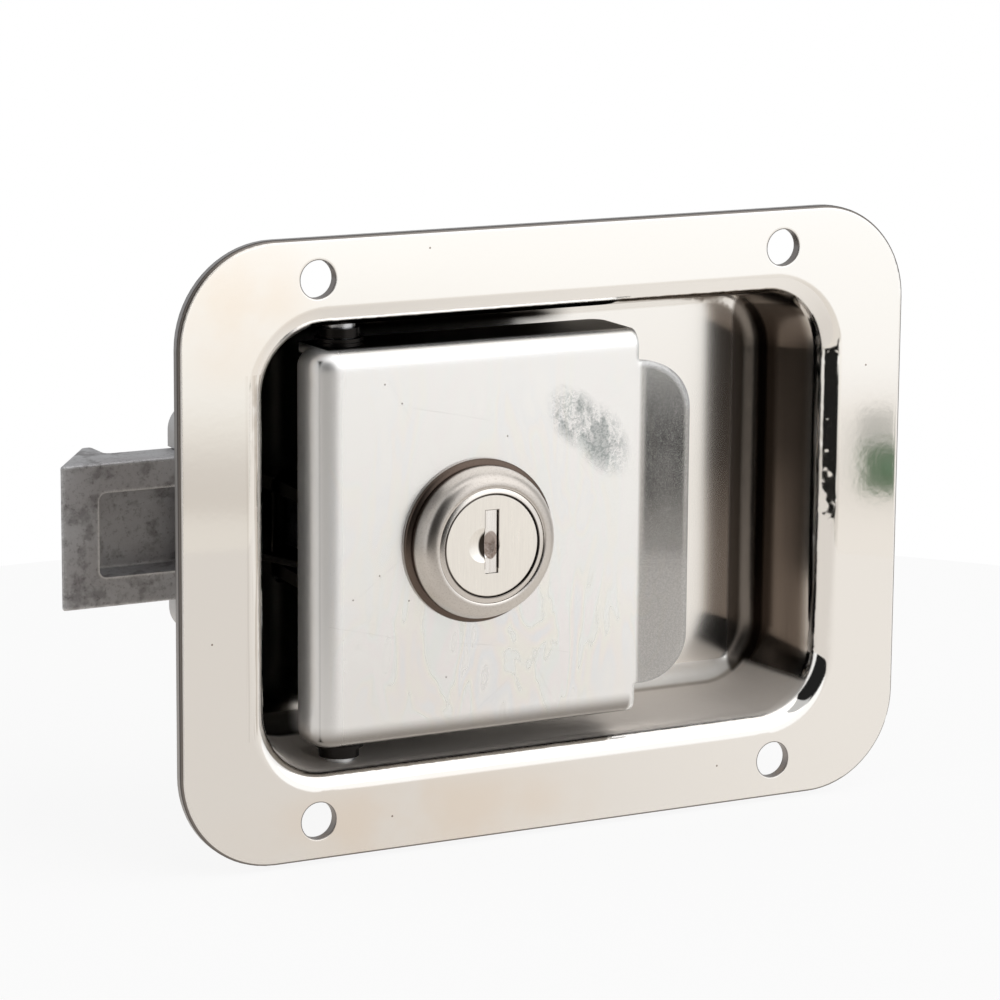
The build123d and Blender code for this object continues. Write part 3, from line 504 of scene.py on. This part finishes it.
def long_scratches(nodes, across, up):
    """A few long fine scratches at odd angles."""
    total = 0
    for turn, gap in ((0.5, 0.021), (-0.9, 0.027), (1.35, 0.033)):
        along = across * math.cos(turn) + up * math.sin(turn)
        wander = nodes.noise(0.03, nodes.place(shift=(turn, 0, gap * 40)), detail=1) * 0.004
        line = ((along + wander) / gap).maths("FRACT").within(0.4985, 0.5015, 0.001)
        broken = nodes.noise(0.012, nodes.place(shift=(0, turn, 3)), detail=1).above(0.55, 0.04)
        total = total + line * broken
    return total


def zinc_plated_steel(colours):
    """Bright zinc plate with a bluish cast and slight mottling."""
    nodes = new_finish("zinc_plated_steel")
    mottle = nodes.noise(0.004, detail=5)
    base = nodes.blend(mottle, colours.zinc_plate, (0.55, 0.57, 0.6))
    grain = nodes.noise(0.0006, detail=3)
    rough = 0.24 + mottle * 0.12 + grain * 0.08
    return nodes.surface(
        base_color=base, metallic=1.0, roughness=rough, normal=nodes.bump(grain, 0.000006)
    )


def oiled_black_steel(colours):
    """Blackened steel with an oily bloom, for the parts that work behind the paddle."""
    nodes = new_finish("oiled_black_steel")
    bloom = nodes.noise(0.003, detail=5)
    base = nodes.blend(bloom, colours.black_steel, (0.015, 0.014, 0.013))
    rough = 0.22 + bloom * 0.18
    return nodes.surface(base_color=base, metallic=1.0, roughness=rough)


def raw_zinc_casting(colours):
    """Dull die-cast zinc with dark stains, a rough skin and edges rubbed bright, partly a painted
    highlight.
    """
    nodes = new_finish("raw_zinc_casting")
    flow = nodes.noise(0.009, nodes.place(stretch=(0.35, 1, 1)), detail=6, distort=1.2)
    pits = nodes.noise(0.0007, detail=6, rough=0.75)
    stains = nodes.noise(0.0032, detail=5, rough=0.6).above(0.58, 0.16)
    bare = nodes.add("ShaderNodeNewGeometry")["Normal"]
    soft = nodes.add("ShaderNodeBevel", {"samples": 6}, {"Radius": 0.0009})["Normal"]
    settings = {"operation": "DOT_PRODUCT"}
    agree = nodes.add("ShaderNodeVectorMath", settings, {0: bare, 1: soft})["Value"]
    # Edges worn bright, with a painted highlight along them.
    edge = (1 - agree).above(0.075 + (pits - 0.5) * 0.3, 0.07)
    base = nodes.blend(flow.above(0.5, 0.3), colours.cast_zinc, (0.5, 0.49, 0.5))
    base = nodes.tinted(stains * 0.6, base, (0.42, 0.4, 0.4))
    base = nodes.tinted(pits.above(0.58, 0.1) * 0.5, base, (0.5, 0.48, 0.48))
    base = nodes.blend(edge, base, colours.worn_zinc_highlight)
    rough = 0.46 + flow * 0.14 + pits * 0.1 - edge * 0.2
    normal = nodes.bump(flow, 0.00005)
    normal = nodes.bump(pits, 0.00006, normal)
    return nodes.surface(base_color=base, metallic=1.0, roughness=rough, normal=normal)


def pale_zinc_casting(colours):
    """Tumbled die casting, lighter and more even."""
    nodes = new_finish("pale_zinc_casting")
    pits = nodes.noise(0.0008, detail=6, rough=0.7)
    base = nodes.blend(nodes.noise(0.007, detail=4), colours.housing_zinc, (0.6, 0.6, 0.61))
    rough = 0.4 + pits * 0.2
    return nodes.surface(
        base_color=base, metallic=1.0, roughness=rough, normal=nodes.bump(pits, 0.00002)
    )


def spring_steel(colours):
    """Drawn wire, dark and slightly oily."""
    nodes = new_finish("spring_steel")
    streak = nodes.noise(0.0011, detail=4)
    base = nodes.blend(streak, colours.spring_wire, (0.07, 0.066, 0.064))
    return nodes.surface(base_color=base, metallic=1.0, roughness=0.22 + streak * 0.2)


def satin_nickel(colours):
    """Nickel plate brushed round in fine lines, with dirt in the joints between the rings and painted
    shade on the ring and in the groove at its foot.
    """
    nodes = new_finish("satin_nickel")
    across, depth, up = nodes.axes()
    reach = radius_from(LOCK.x, across, up)
    turned = nodes.add("ShaderNodeCombineXYZ", None, {"X": reach, "Y": depth, "Z": 0.0})["Vector"]
    grain = nodes.noise(0.00022, turned, detail=4, rough=0.7)
    clouds = nodes.noise(0.006, detail=3)
    base = nodes.blend(clouds, colours.nickel, (0.7, 0.66, 0.62))
    torus = reach.above(LOCK.barrel + 0.0002, 0.0003)
    dust = nodes.noise(0.00024, detail=4, rough=0.7).above(0.56, 0.1)
    # Painted shade: the ring darkened most on its upper half, least at the far left, with dust.
    side = across.above(LOCK.x - 0.0105, 0.003) * 0.85 + 0.15
    grime_and_shade = (0.4 + up.above(0.0, 0.006) * 0.5) * side
    base = nodes.tinted(torus * (grime_and_shade * 0.7 + dust * 0.3), base, (0.62, 0.6, 0.58))
    joint = reach.within(LOCK.plug - 0.0001, LOCK.plug + 0.0002, 0.0001)
    base = nodes.tinted(joint * 0.8, base, JOINT_DIRT)
    # Painted shade in the groove between the ring and its foot.
    groove = depth.within(LOCK.front + 0.0028, LOCK.front + 0.0046, 0.0005)
    groove = groove * reach.above(0.011, 0.0002)
    base = nodes.tinted(groove * 0.95, base, (0.16, 0.12, 0.1))
    rough = 0.2 + grain * 0.08 + clouds * 0.04 + torus * 0.04
    return nodes.surface(
        base_color=base, metallic=1.0, roughness=rough, normal=nodes.bump(grain, 0.000003)
    )


def brushed_nickel(colours):
    """The same plate on the flat core face, brushed straight up and down."""
    nodes = new_finish("brushed_nickel")
    across, _, up = nodes.axes()
    reach = radius_from(LOCK.x, across, up)
    lines = nodes.noise(0.00025, nodes.place(stretch=(1, 1, 0.06)), detail=4, rough=0.7)
    base = nodes.blend(lines.above(0.5, 0.3), colours.core_face, (0.89, 0.855, 0.8))
    # Painted shade: near black inside the key scoop.
    scoop = nodes.patch(across, up, (LOCK.x - 0.0009, 0.0001), (0.0011, 0.002), 0.3)
    base = nodes.tinted(scoop, base, (0.04, 0.034, 0.03))
    lowest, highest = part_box("key_shutter")
    over_x = abs(across - (lowest[0] + highest[0]) / 2) - (highest[0] - lowest[0]) / 2
    over_z = abs(up - (lowest[2] + highest[2]) / 2 - 0.0004)
    over_z = over_z - (highest[2] - lowest[2]) / 2 + 0.0004
    outline = over_x.maths("MAXIMUM", over_z).within(-0.0001, 0.00016, 0.00006)
    base = nodes.tinted(outline * 0.75, base, (0.2, 0.17, 0.15))
    edge = reach.above(LOCK.plug - 0.0002, 0.00012)
    base = nodes.tinted(edge * 0.85, base, JOINT_DIRT)
    rough = 0.24 + lines * 0.1
    return nodes.surface(
        base_color=base, metallic=1.0, roughness=rough, normal=nodes.bump(lines, 0.000002)
    )


def bright_shutter(colours):
    """Small polished flap that closes the key slot, rubbed dull where the key pushes it, with painted
    shade where it lies back behind the scoop.
    """
    nodes = new_finish("bright_shutter")
    across, _, up = nodes.axes()
    lines = nodes.noise(0.0004, nodes.place(stretch=(1, 1, 0.05)), detail=4)
    # Rubbed dull where the key pushes it; its darker colour is painted shade where the flap lies back
    # behind the scoop.
    rubbed = nodes.patch(across, up, (LOCK.x - 0.0001, 0.0001), (0.0012, 0.0021), 0.12)
    dirt = nodes.noise(0.0005, detail=4, rough=0.7).above(0.52, 0.2)
    lower_half = (0 - up).above(-0.0006, 0.001)
    base = nodes.blend(lines.above(0.5, 0.3), (0.97, 0.95, 0.93), (0.86, 0.83, 0.8))
    base = nodes.tinted(rubbed, base, (0.5, 0.44, 0.41))
    base = nodes.tinted(rubbed * dirt * lower_half, base, (0.6, 0.55, 0.52))
    rough = 0.16 + lines * 0.12 + rubbed * 0.2
    return nodes.surface(base_color=base, metallic=1.0, roughness=rough)


def stamped_brass(colours):
    """Thin stamped brass."""
    nodes = new_finish("stamped_brass")
    cloud = nodes.noise(0.003, detail=4)
    base = nodes.blend(cloud, colours.brass, (0.5, 0.38, 0.2))
    return nodes.surface(base_color=base, metallic=1.0, roughness=0.25 + cloud * 0.2)


# Direction on the floor along which its reflected colour grows paler.
FLOOR_RIGHT = (0.883, 0.469)


def pale_floor(colours):
    """Plain floor: white to the camera, a little warm in reflections, with a soft shadow."""
    nodes = new_finish("pale_floor")
    path = nodes.add("ShaderNodeLightPath")
    seen = path["Is Camera Ray"]
    mirrored = path["Is Glossy Ray"].maths("MAXIMUM", path["Is Transmission Ray"])
    across, depth, _ = nodes.axes()
    rightward = across * FLOOR_RIGHT[0] + depth * FLOOR_RIGHT[1]
    table = nodes.blend(rightward.above(0.0, 0.11), colours.table_left, colours.table_right)
    colour = nodes.blend(seen, table, WHITE)
    glow = nodes.add("ShaderNodeEmission", None, {"Color": colour, "Strength": 1.0})["Emission"]
    matt = nodes.add("ShaderNodeBsdfDiffuse", None, {"Color": nodes.colour(colours.floor)})["BSDF"]
    share = seen * 0.88 + mirrored * 0.8
    both = nodes.add("ShaderNodeMixShader", None, {"Fac": share, 1: matt, 2: glow})["Shader"]
    nodes.add("ShaderNodeOutputMaterial", None, {"Surface": both})
    return nodes.owner


# ---- settings that a user would change ----------------------------------------------------


def colour_property(name, description, default):
    return bpy.props.FloatVectorProperty(
        name=name, description=description, default=default, subtype="COLOR", size=3, min=0, max=1
    )


def length_property(name, description, default):
    return bpy.props.FloatProperty(
        name=name, description=description, default=default, unit="LENGTH", precision=5
    )


def angle_property(name, description, default):
    """An angle whose default is given in degrees."""
    return bpy.props.FloatProperty(
        name=name, description=description, default=math.radians(default), subtype="ANGLE"
    )


class LatchColours(bpy.types.PropertyGroup):
    """Colours of the finishes and of the studio."""

    polished_steel: colour_property("Polished steel", "Flange and rolled edge", (0.93, 0.91, 0.88))
    # Painted shade that darkens the inside walls of the pan.
    pan_wall_shade: colour_property("Drawn steel", "Inside of the pan", (0.66, 0.62, 0.58))
    # Painted shade on the ends of the pan, in a brown tone.
    pan_end_shade: colour_property("Pan end", "Brown drawn ends of the pan", (0.3, 0.26, 0.235))
    left_wall: colour_property("Left wall", "Dull wall of the pan by the hinge", (0.85, 0.82, 0.78))
    low_wall: colour_property("Low wall", "Dull wall under the paddle", (0.9, 0.85, 0.8))
    cut_edge: colour_property("Cut edge", "Sheared rim of the sheet", (0.4, 0.39, 0.39))
    hole_edge: colour_property("Hole edge", "Punched walls of the screw holes", (0.3, 0.28, 0.27))
    # Painted grey-green reflection, laid on the paddle as a rub.
    rub_and_painted_reflection: colour_property("Rub mark", "Grey rub on the paddle", (0.42, 0.45, 0.45))
    # Painted shade: the near-black back of the paddle.
    paddle_back_shade: colour_property("Paddle back", "Unpolished back of the paddle", (0.012, 0.011, 0.01))
    heat_tint: colour_property("Heat tint", "Straw tint on the polish", (0.98, 0.87, 0.76))
    satin_steel: colour_property("Satin steel", "Paddle", (0.97, 0.965, 0.955))
    zinc_plate: colour_property(
        "Zinc plate", "Hinge pin, cover, screws, nut and cam", (0.68, 0.69, 0.7)
    )
    cast_zinc: colour_property("Cast zinc", "Bolt", (0.57, 0.572, 0.585))
    housing_zinc: colour_property("Housing zinc", "Bolt housing", (0.72, 0.72, 0.72))
    spring_wire: colour_property("Spring wire", "Springs and pin retainer", (0.12, 0.115, 0.11))
    nickel: colour_property("Nickel", "Lock bezel and barrel", (0.8, 0.76, 0.715))
    core_face: colour_property("Core face", "Brushed face of the lock core", (0.93, 0.895, 0.835))
    black_steel: colour_property(
        "Black steel", "Crank, rivets, spacers and washers", (0.03, 0.027, 0.026)
    )
    # Worn edges of the bolt, brightened further as a painted highlight.
    worn_zinc_highlight: colour_property("Worn zinc", "Rubbed edges of the bolt", (0.85, 0.85, 0.85))
    brass: colour_property("Brass", "Wafers", (0.72, 0.56, 0.3))
    floor: colour_property("Floor", "Studio floor", (0.86, 0.86, 0.86))
    table_left: colour_property("Floor, left", "Floor as metal shows it", (0.75, 0.705, 0.655))
    table_right: colour_property("Floor, right", "Floor as metal shows it", (0.92, 0.88, 0.83))


class LatchStudio(bpy.types.PropertyGroup):
    """Camera, floor, lamp and surroundings."""

    camera_turn: angle_property("Camera turn", "Camera to the left of the front", 27.944)
    camera_tilt: angle_property("Camera tilt", "Camera looks down by this", 11.523)
    camera_roll: angle_property("Camera roll", "Camera tips by this", 0.44)
    camera_distance: length_property("Camera distance", "Camera to the aim point", 0.613896)
    camera_lens: bpy.props.FloatProperty(
        name="Lens", description="Focal length in millimetres", default=149.131, min=1
    )
    aim: bpy.props.FloatVectorProperty(
        name="Aim",
        description="Point in the middle of the picture",
        default=(-0.0093051, -0.0015, 0.0053366),
        subtype="TRANSLATION",
        size=3,
    )
    floor_radius: length_property("Floor radius", "Round floor under the latch", 0.21)
    floor_gap: length_property("Floor gap", "Floor below the latch", 0.0006)
    room_start: angle_property("Room start", "Dark room, from the front to the left", -14.5)
    room_end: angle_property("Room end", "Dark room ends here", 66.0)
    room_low: angle_property("Room step", "Height of the room where it starts", -9.8)
    room_top: angle_property("Room top", "Dark room ends at this height", 55.0)
    lamp_width: length_property("Lamp width", "Side of the square soft lamp", 1.5)
    lamp_power: bpy.props.FloatProperty(
        name="Lamp power", description="Power of the soft lamp in watts", default=4.0, min=0
    )
    lamp_place: bpy.props.FloatVectorProperty(
        name="Lamp place",
        description="Middle of the soft lamp, which faces the latch",
        default=(0.35, -0.55, 0.75),
        subtype="TRANSLATION",
        size=3,
    )


# ---- operators ----------------------------------------------------------------------------


class LatchOperator:
    """Shared access to the settings."""

    bl_options = {"REGISTER", "UNDO"}

    @staticmethod
    def colours():
        return bpy.context.scene.latch_colours

    @staticmethod
    def studio():
        return bpy.context.scene.latch_studio


CAD_FINISHES = [
    (polished_stainless, ["dish"]),
    (satin_stainless, ["paddle"]),
    (
        oiled_black_steel,
        ["paddle_crank", "drive_pin", "hinge_washers", "hinge_spacers", "housing_rivets"],
    ),
    (
        zinc_plated_steel,
        [
            "hinge_pin",
            "housing_cover",
            "cover_screws",
            "spring_guide",
            "stop_washer",
            "lock_cam",
            "cam_screw",
            "lock_washer",
            "lock_nut",
            "lock_keeper",
        ],
    ),
    (raw_zinc_casting, ["latch_bolt"]),
    (pale_zinc_casting, ["bolt_housing"]),
    (
        spring_steel,
        ["pin_retainer", "paddle_spring", "bolt_spring", "wafer_springs", "shutter_spring"],
    ),
    (satin_nickel, ["lock_barrel", "lock_bezel"]),
    (brushed_nickel, ["lock_plug"]),
    (bright_shutter, ["key_shutter"]),
    (stamped_brass, ["wafers"]),
]


class LATCH_OT_finishes(LatchOperator, bpy.types.Operator):
    """Gives each carried-over piece its metal"""

    bl_idname = "latch.finishes"
    bl_label = "Finish the metal pieces"

    def execute(self, context):
        for make, nodes in CAD_FINISHES:
            material = make(self.colours())
            for node in nodes:
                piece = frame["nodes"][node]
                piece.data.materials.clear()
                piece.data.materials.append(material)
        return {"FINISHED"}


def new_piece(name, bm, material, crease=35.0):
    """Turns a finished bmesh into an object at the origin, smooth but for its sharp edges."""
    bmesh.ops.recalc_face_normals(bm, faces=bm.faces)
    for face in bm.faces:
        face.smooth = True
    mesh = bpy.data.meshes.new(name)
    bm.to_mesh(mesh)
    bm.free()
    mesh.set_sharp_from_angle(angle=math.radians(crease))
    mesh.materials.append(material)
    piece = bpy.data.objects.new(name, mesh)
    bpy.context.scene.collection.objects.link(piece)
    return piece


def ring(bm, points, steps=96, turns=1, pitch=0.0):
    """Spins a closed section of (radius, depth) points round the lock's axis."""
    section = [bm.verts.new((LOCK.x + radius, LOCK.front + depth, 0)) for radius, depth in points]
    edges = [bm.edges.new(pair) for pair in zip(section, section[1:] + section[:1])]
    bmesh.ops.spin(
        bm,
        geom=section + edges,
        cent=(LOCK.x, 0, 0),
        axis=(0, 1, 0),
        dvec=(0, pitch / steps, 0),
        angle=math.tau * turns,
        steps=steps * turns,
        use_merge=pitch == 0,
    )
    return section


def trim_flats(bm, half):
    """Cuts the top and bottom off what has been spun, and closes the cuts."""
    for side in (-1, 1):
        bmesh.ops.bisect_plane(
            bm,
            geom=bm.verts[:] + bm.edges[:] + bm.faces[:],
            plane_co=(0, 0, side * half),
            plane_no=(0, 0, side),
            clear_outer=True,
        )
        bmesh.ops.holes_fill(bm, edges=[edge for edge in bm.edges if edge.is_boundary], sides=0)


class LATCH_OT_lock_bezel(LatchOperator, bpy.types.Operator):
    """Makes the rounded ring that the lock clamps against the paddle"""

    bl_idname = "latch.lock_bezel"
    bl_label = "Make the lock bezel"

    def execute(self, context):
        foot = LOCK.foot - 0.0004
        rear = LOCK.seat - LOCK.front
        bore = 0.00865
        lip = 0.0012
        rear_bore = 0.0094
        bm = bmesh.new()
        outline = [
            (bore, lip),
            (bore, 0.00012),
            (0.0088, 0.00001),
            (0.0092, 0.00004),
            (0.0097, 0.00017),
            (0.0102, 0.00042),
            (0.0106, 0.00078),
            (0.0109, 0.00122),
            (0.0111, 0.0017),
            (0.01135, 0.0024),
            (0.0115, 0.0030),
            (0.01152, 0.0034),
            (0.0114, 0.0037),
            (0.0114, 0.0039),
            (foot - 0.0002, 0.00405),
            (foot, 0.00425),
            (foot, rear - 0.0001),
            (foot - 0.0001, rear),
            (rear_bore, rear),
            (rear_bore, lip),
        ]
        ring(bm, outline)
        piece = new_piece("bezel_ring", bm, made_finish("satin_nickel"), crease=50)
        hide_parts("lock_bezel")
        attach(piece, "paddle")
        return {"FINISHED"}


class LATCH_OT_lock_barrel(LatchOperator, bpy.types.Operator):
    """Makes the lock's threaded barrel, with its two flats"""

    bl_idname = "latch.lock_barrel"
    bl_label = "Make the lock barrel"

    def execute(self, context):
        length = LOCK.barrel_rear - LOCK.front
        root = LOCK.barrel - 0.00055
        shoulder = 0.00318
        pitch = 0.001
        start = 0.0062
        plug_bore = LOCK.plug + 0.00008
        core_bore = LOCK.core + 0.00008
        bm = bmesh.new()
        outline = [
            (plug_bore, shoulder),
            (plug_bore, 0.001),
            (LOCK.barrel, 0.001),
            (LOCK.barrel, start),
            (root, start + 0.0004),
            (root, length),
            (core_bore, length),
            (core_bore, shoulder),
        ]
        ring(bm, outline)
        trim_flats(bm, LOCK.barrel_flat)
        self.add_thread(bm, root, start, length, pitch)
        head = [
            (plug_bore, 0.0011),
            (plug_bore, 0.0001),
            (LOCK.plug + 0.00016, 0.00002),
            (LOCK.barrel - 0.0001, 0.00012),
            (LOCK.barrel, 0.0002),
            (LOCK.barrel, 0.0011),
        ]
        ring(bm, head)
        piece = new_piece("threaded_barrel", bm, made_finish("satin_nickel"))
        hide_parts("lock_barrel")
        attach(piece, "paddle")
        return {"FINISHED"}

    @staticmethod
    def add_thread(bm, root, start, length, pitch):
        """Winds a ridge behind the barrel's plain neck and trims it to the flats."""
        turns = int((length - start - 2 * pitch) / pitch)
        thread = bmesh.new()
        ridge = [(root - 0.0002, 0.0), (root, 0.0), (LOCK.barrel, 0.0004), (root, 0.0008)]
        ring(thread, [(out, start + 0.0005 + along) for out, along in ridge], 48, turns, pitch)
        bmesh.ops.holes_fill(thread, edges=[e for e in thread.edges if e.is_boundary], sides=4)
        trim_flats(thread, LOCK.barrel_flat - 0.00002)
        wound = bpy.data.meshes.new("thread")
        thread.to_mesh(wound)
        thread.free()
        bm.from_mesh(wound)
        bpy.data.meshes.remove(wound)


# Far things that the polished flange mirrors. Each row holds two limits of azimuth and two of
# height in degrees, then a share and a colour. Azimuth is 0 at the front and grows to the left.
FAR_SHAPES = [
    (-33.4, -32.85, -10.72, -10.2, 0.75, (0.3, 0.3, 0.28)),
    (-33.75, -32.9, -11.36, -10.68, 1.0, (0.0, 0.06, 0.0)),
    (-33.5, -33.2, -11.05, -10.9, 0.3, (0.3, 0.5, 0.38)),
    (-32.62, -32.58, -11.2, -10.3, 0.45, (0.45, 0.44, 0.42)),
    (-32.71, -32.67, -11.2, -10.3, 0.45, (0.45, 0.44, 0.42)),
]

# Sky stops by height: place 0 is SKY_DROP below the horizon and place 1 is SKY_SPAN above that.
SKY_DROP = math.radians(20)
SKY_SPAN = math.radians(30)
SKY_RIGHT = [
    (0.0, (0.77, 0.74, 0.7)),
    (0.27, (0.8, 0.765, 0.72)),
    (0.285, (0.75, 0.714, 0.67)),
    (0.3287, (0.84, 0.809, 0.77)),
    (0.337, (0.88, 0.863, 0.84)),
    (0.35, (0.93, 0.92, 0.9)),
    (0.4, (0.97, 0.965, 0.95)),
    (0.43, WHITE),
]
SKY_FRONT = [
    (0.0, (0.7, 0.66, 0.61)),
    (0.2735, (0.72, 0.685, 0.635)),
    (0.2765, (0.595, 0.556, 0.51)),
    (0.2967, (0.63, 0.593, 0.55)),
    (0.315, (0.78, 0.75, 0.7)),
    (0.3287, (0.86, 0.84, 0.8)),
    (0.3517, (0.9, 0.88, 0.845)),
    (0.375, (0.94, 0.925, 0.895)),
    (0.4, (1, 0.99, 0.97)),
    (0.43, WHITE),
]

# Light by the side that it comes from: place 0 is the back and place 1 is the front.
LIGHT_BY_SIDE = [
    (0.0, (0.5, 0.5, 0.5)),
    (0.5, (0.55, 0.55, 0.55)),
    (0.6, (0.78, 0.78, 0.78)),
    (0.72, (0.95, 0.95, 0.95)),
    (0.82, WHITE),
]


class LATCH_OT_stage(LatchOperator, bpy.types.Operator):
    """Makes the floor, surroundings, lamp and camera"""

    bl_idname = "latch.stage"
    bl_label = "Set the stage"

    def execute(self, context):
        self.make_floor()
        self.make_surroundings()
        self.make_lamp()
        self.make_camera()
        return {"FINISHED"}

    def make_floor(self):
        studio = self.studio()
        bm = bmesh.new()
        level = CAD_BOX[0][2] - studio.floor_gap
        bmesh.ops.create_circle(
            bm,
            cap_ends=True,
            radius=studio.floor_radius,
            segments=96,
            matrix=Matrix.Translation((0, 0, level)),
        )
        floor = new_piece("studio_floor", bm, pale_floor(self.colours()))

    def make_surroundings(self):
        world = bpy.data.worlds.new("studio")
        bpy.context.scene.world = world
        nodes = Finish(world)
        toward = nodes.add("ShaderNodeTexCoord")["Generated"]
        split = nodes.add("ShaderNodeSeparateXYZ", None, {"Vector": toward})
        left, front = 0 - split["X"], 0 - split["Y"]
        azimuth = left.maths("ARCTAN2", front)
        height = split["Z"].maths("ARCSINE")
        place = (height + SKY_DROP) / SKY_SPAN
        frontward = azimuth.above(math.radians(-28), math.radians(8))
        sky = nodes.blend(frontward, nodes.ramp(place, SKY_RIGHT), nodes.ramp(place, SKY_FRONT))
        gloss = nodes.blend(self.dark_room(azimuth, height) * 0.985, sky, BLACK)
        wave = nodes.noise(0.012, toward, detail=3) * math.radians(0.3)
        for shape in FAR_SHAPES:
            gloss = nodes.blend(self.far_shape(azimuth + wave, height, shape), gloss, shape[-1])
        seen = nodes.add("ShaderNodeLightPath")["Is Camera Ray"]
        colour = nodes.blend(seen, gloss, WHITE)
        colour = nodes.tinted(1 - seen, colour, nodes.ramp(front * 0.5 + 0.5, LIGHT_BY_SIDE))
        strength = 1.1 - seen * 0.1
        shade = nodes.add("ShaderNodeBackground", None, {"Color": colour, "Strength": strength})
        nodes.add("ShaderNodeOutputWorld", None, {"Surface": shade["Background"]})

    def dark_room(self, azimuth, height):
        """The unlit room in front of the latch, whose ceiling rises to the left."""
        studio = self.studio()
        rise = azimuth.above(math.radians(-5), math.radians(7))
        ceiling = studio.room_low + rise * (studio.room_top - studio.room_low)
        room = azimuth.within(studio.room_start, studio.room_end, math.radians(3))
        room = room * (1 - height.above(ceiling, math.radians(0.7)))
        return room * height.above(math.radians(-11.9), math.radians(0.2))

    @staticmethod
    def far_shape(azimuth, height, shape):
        """A soft-edged patch of the surroundings, from its limits in degrees."""
        start, end, low, high = (math.radians(limit) for limit in shape[:4])
        patch = azimuth.within(start, end, math.radians(0.07))
        patch = patch * height.within(low, high, math.radians(0.12))
        return patch * shape[4]

    def make_lamp(self):
        studio = self.studio()
        data = bpy.data.lights.new("soft_key", "AREA")
        data.shape = "RECTANGLE"
        data.size = studio.lamp_width
        data.size_y = studio.lamp_width
        data.energy = studio.lamp_power
        lamp = bpy.data.objects.new("soft_key", data)
        bpy.context.scene.collection.objects.link(lamp)
        lamp.location = studio.lamp_place
        lamp.rotation_euler = (-lamp.location).to_track_quat("-Z", "Y").to_euler()

    def make_camera(self):
        studio = self.studio()
        data = bpy.data.cameras.new("camera")
        data.lens = studio.camera_lens
        data.sensor_width = 36.0
        data.clip_start = 0.01
        camera = bpy.data.objects.new("camera", data)
        bpy.context.scene.collection.objects.link(camera)
        turn = Matrix.Rotation(-studio.camera_turn, 4, "Z")
        tilt = Matrix.Rotation(math.pi / 2 - studio.camera_tilt, 4, "X")
        roll = Matrix.Rotation(studio.camera_roll, 4, "Z")
        back = Matrix.Translation((0, 0, studio.camera_distance))
        camera.matrix_world = Matrix.Translation(studio.aim) @ turn @ tilt @ back @ roll
        bpy.context.scene.camera = camera
        bpy.context.scene.view_settings.view_transform = "Standard"


class LATCH_PT_panel(bpy.types.Panel):
    """Lists the latch's operators and settings"""

    bl_idname = "LATCH_PT_panel"
    bl_label = "Paddle latch"
    bl_space_type = "VIEW_3D"
    bl_region_type = "UI"
    bl_category = "Latch"

    def draw(self, context):
        for operator in OPERATORS:
            self.layout.operator(operator.bl_idname)
        for group in (context.scene.latch_colours, context.scene.latch_studio):
            for name in group.__annotations__:
                self.layout.prop(group, name)


OPERATORS = [
    LATCH_OT_finishes,
    LATCH_OT_lock_bezel,
    LATCH_OT_lock_barrel,
    LATCH_OT_stage,
]
CLASSES = [LatchColours, LatchStudio, *OPERATORS, LATCH_PT_panel]


def register():
    for item in CLASSES:
        bpy.utils.register_class(item)
    bpy.types.Scene.latch_colours = bpy.props.PointerProperty(type=LatchColours)
    bpy.types.Scene.latch_studio = bpy.props.PointerProperty(type=LatchStudio)


def unregister():
    del bpy.types.Scene.latch_studio
    del bpy.types.Scene.latch_colours
    for item in reversed(CLASSES):
        bpy.utils.unregister_class(item)


def main():
    register()
    bpy.ops.latch.finishes()
    bpy.ops.latch.lock_bezel()
    bpy.ops.latch.lock_barrel()
    bpy.ops.latch.stage()


if __name__ == "__main__":
    main()
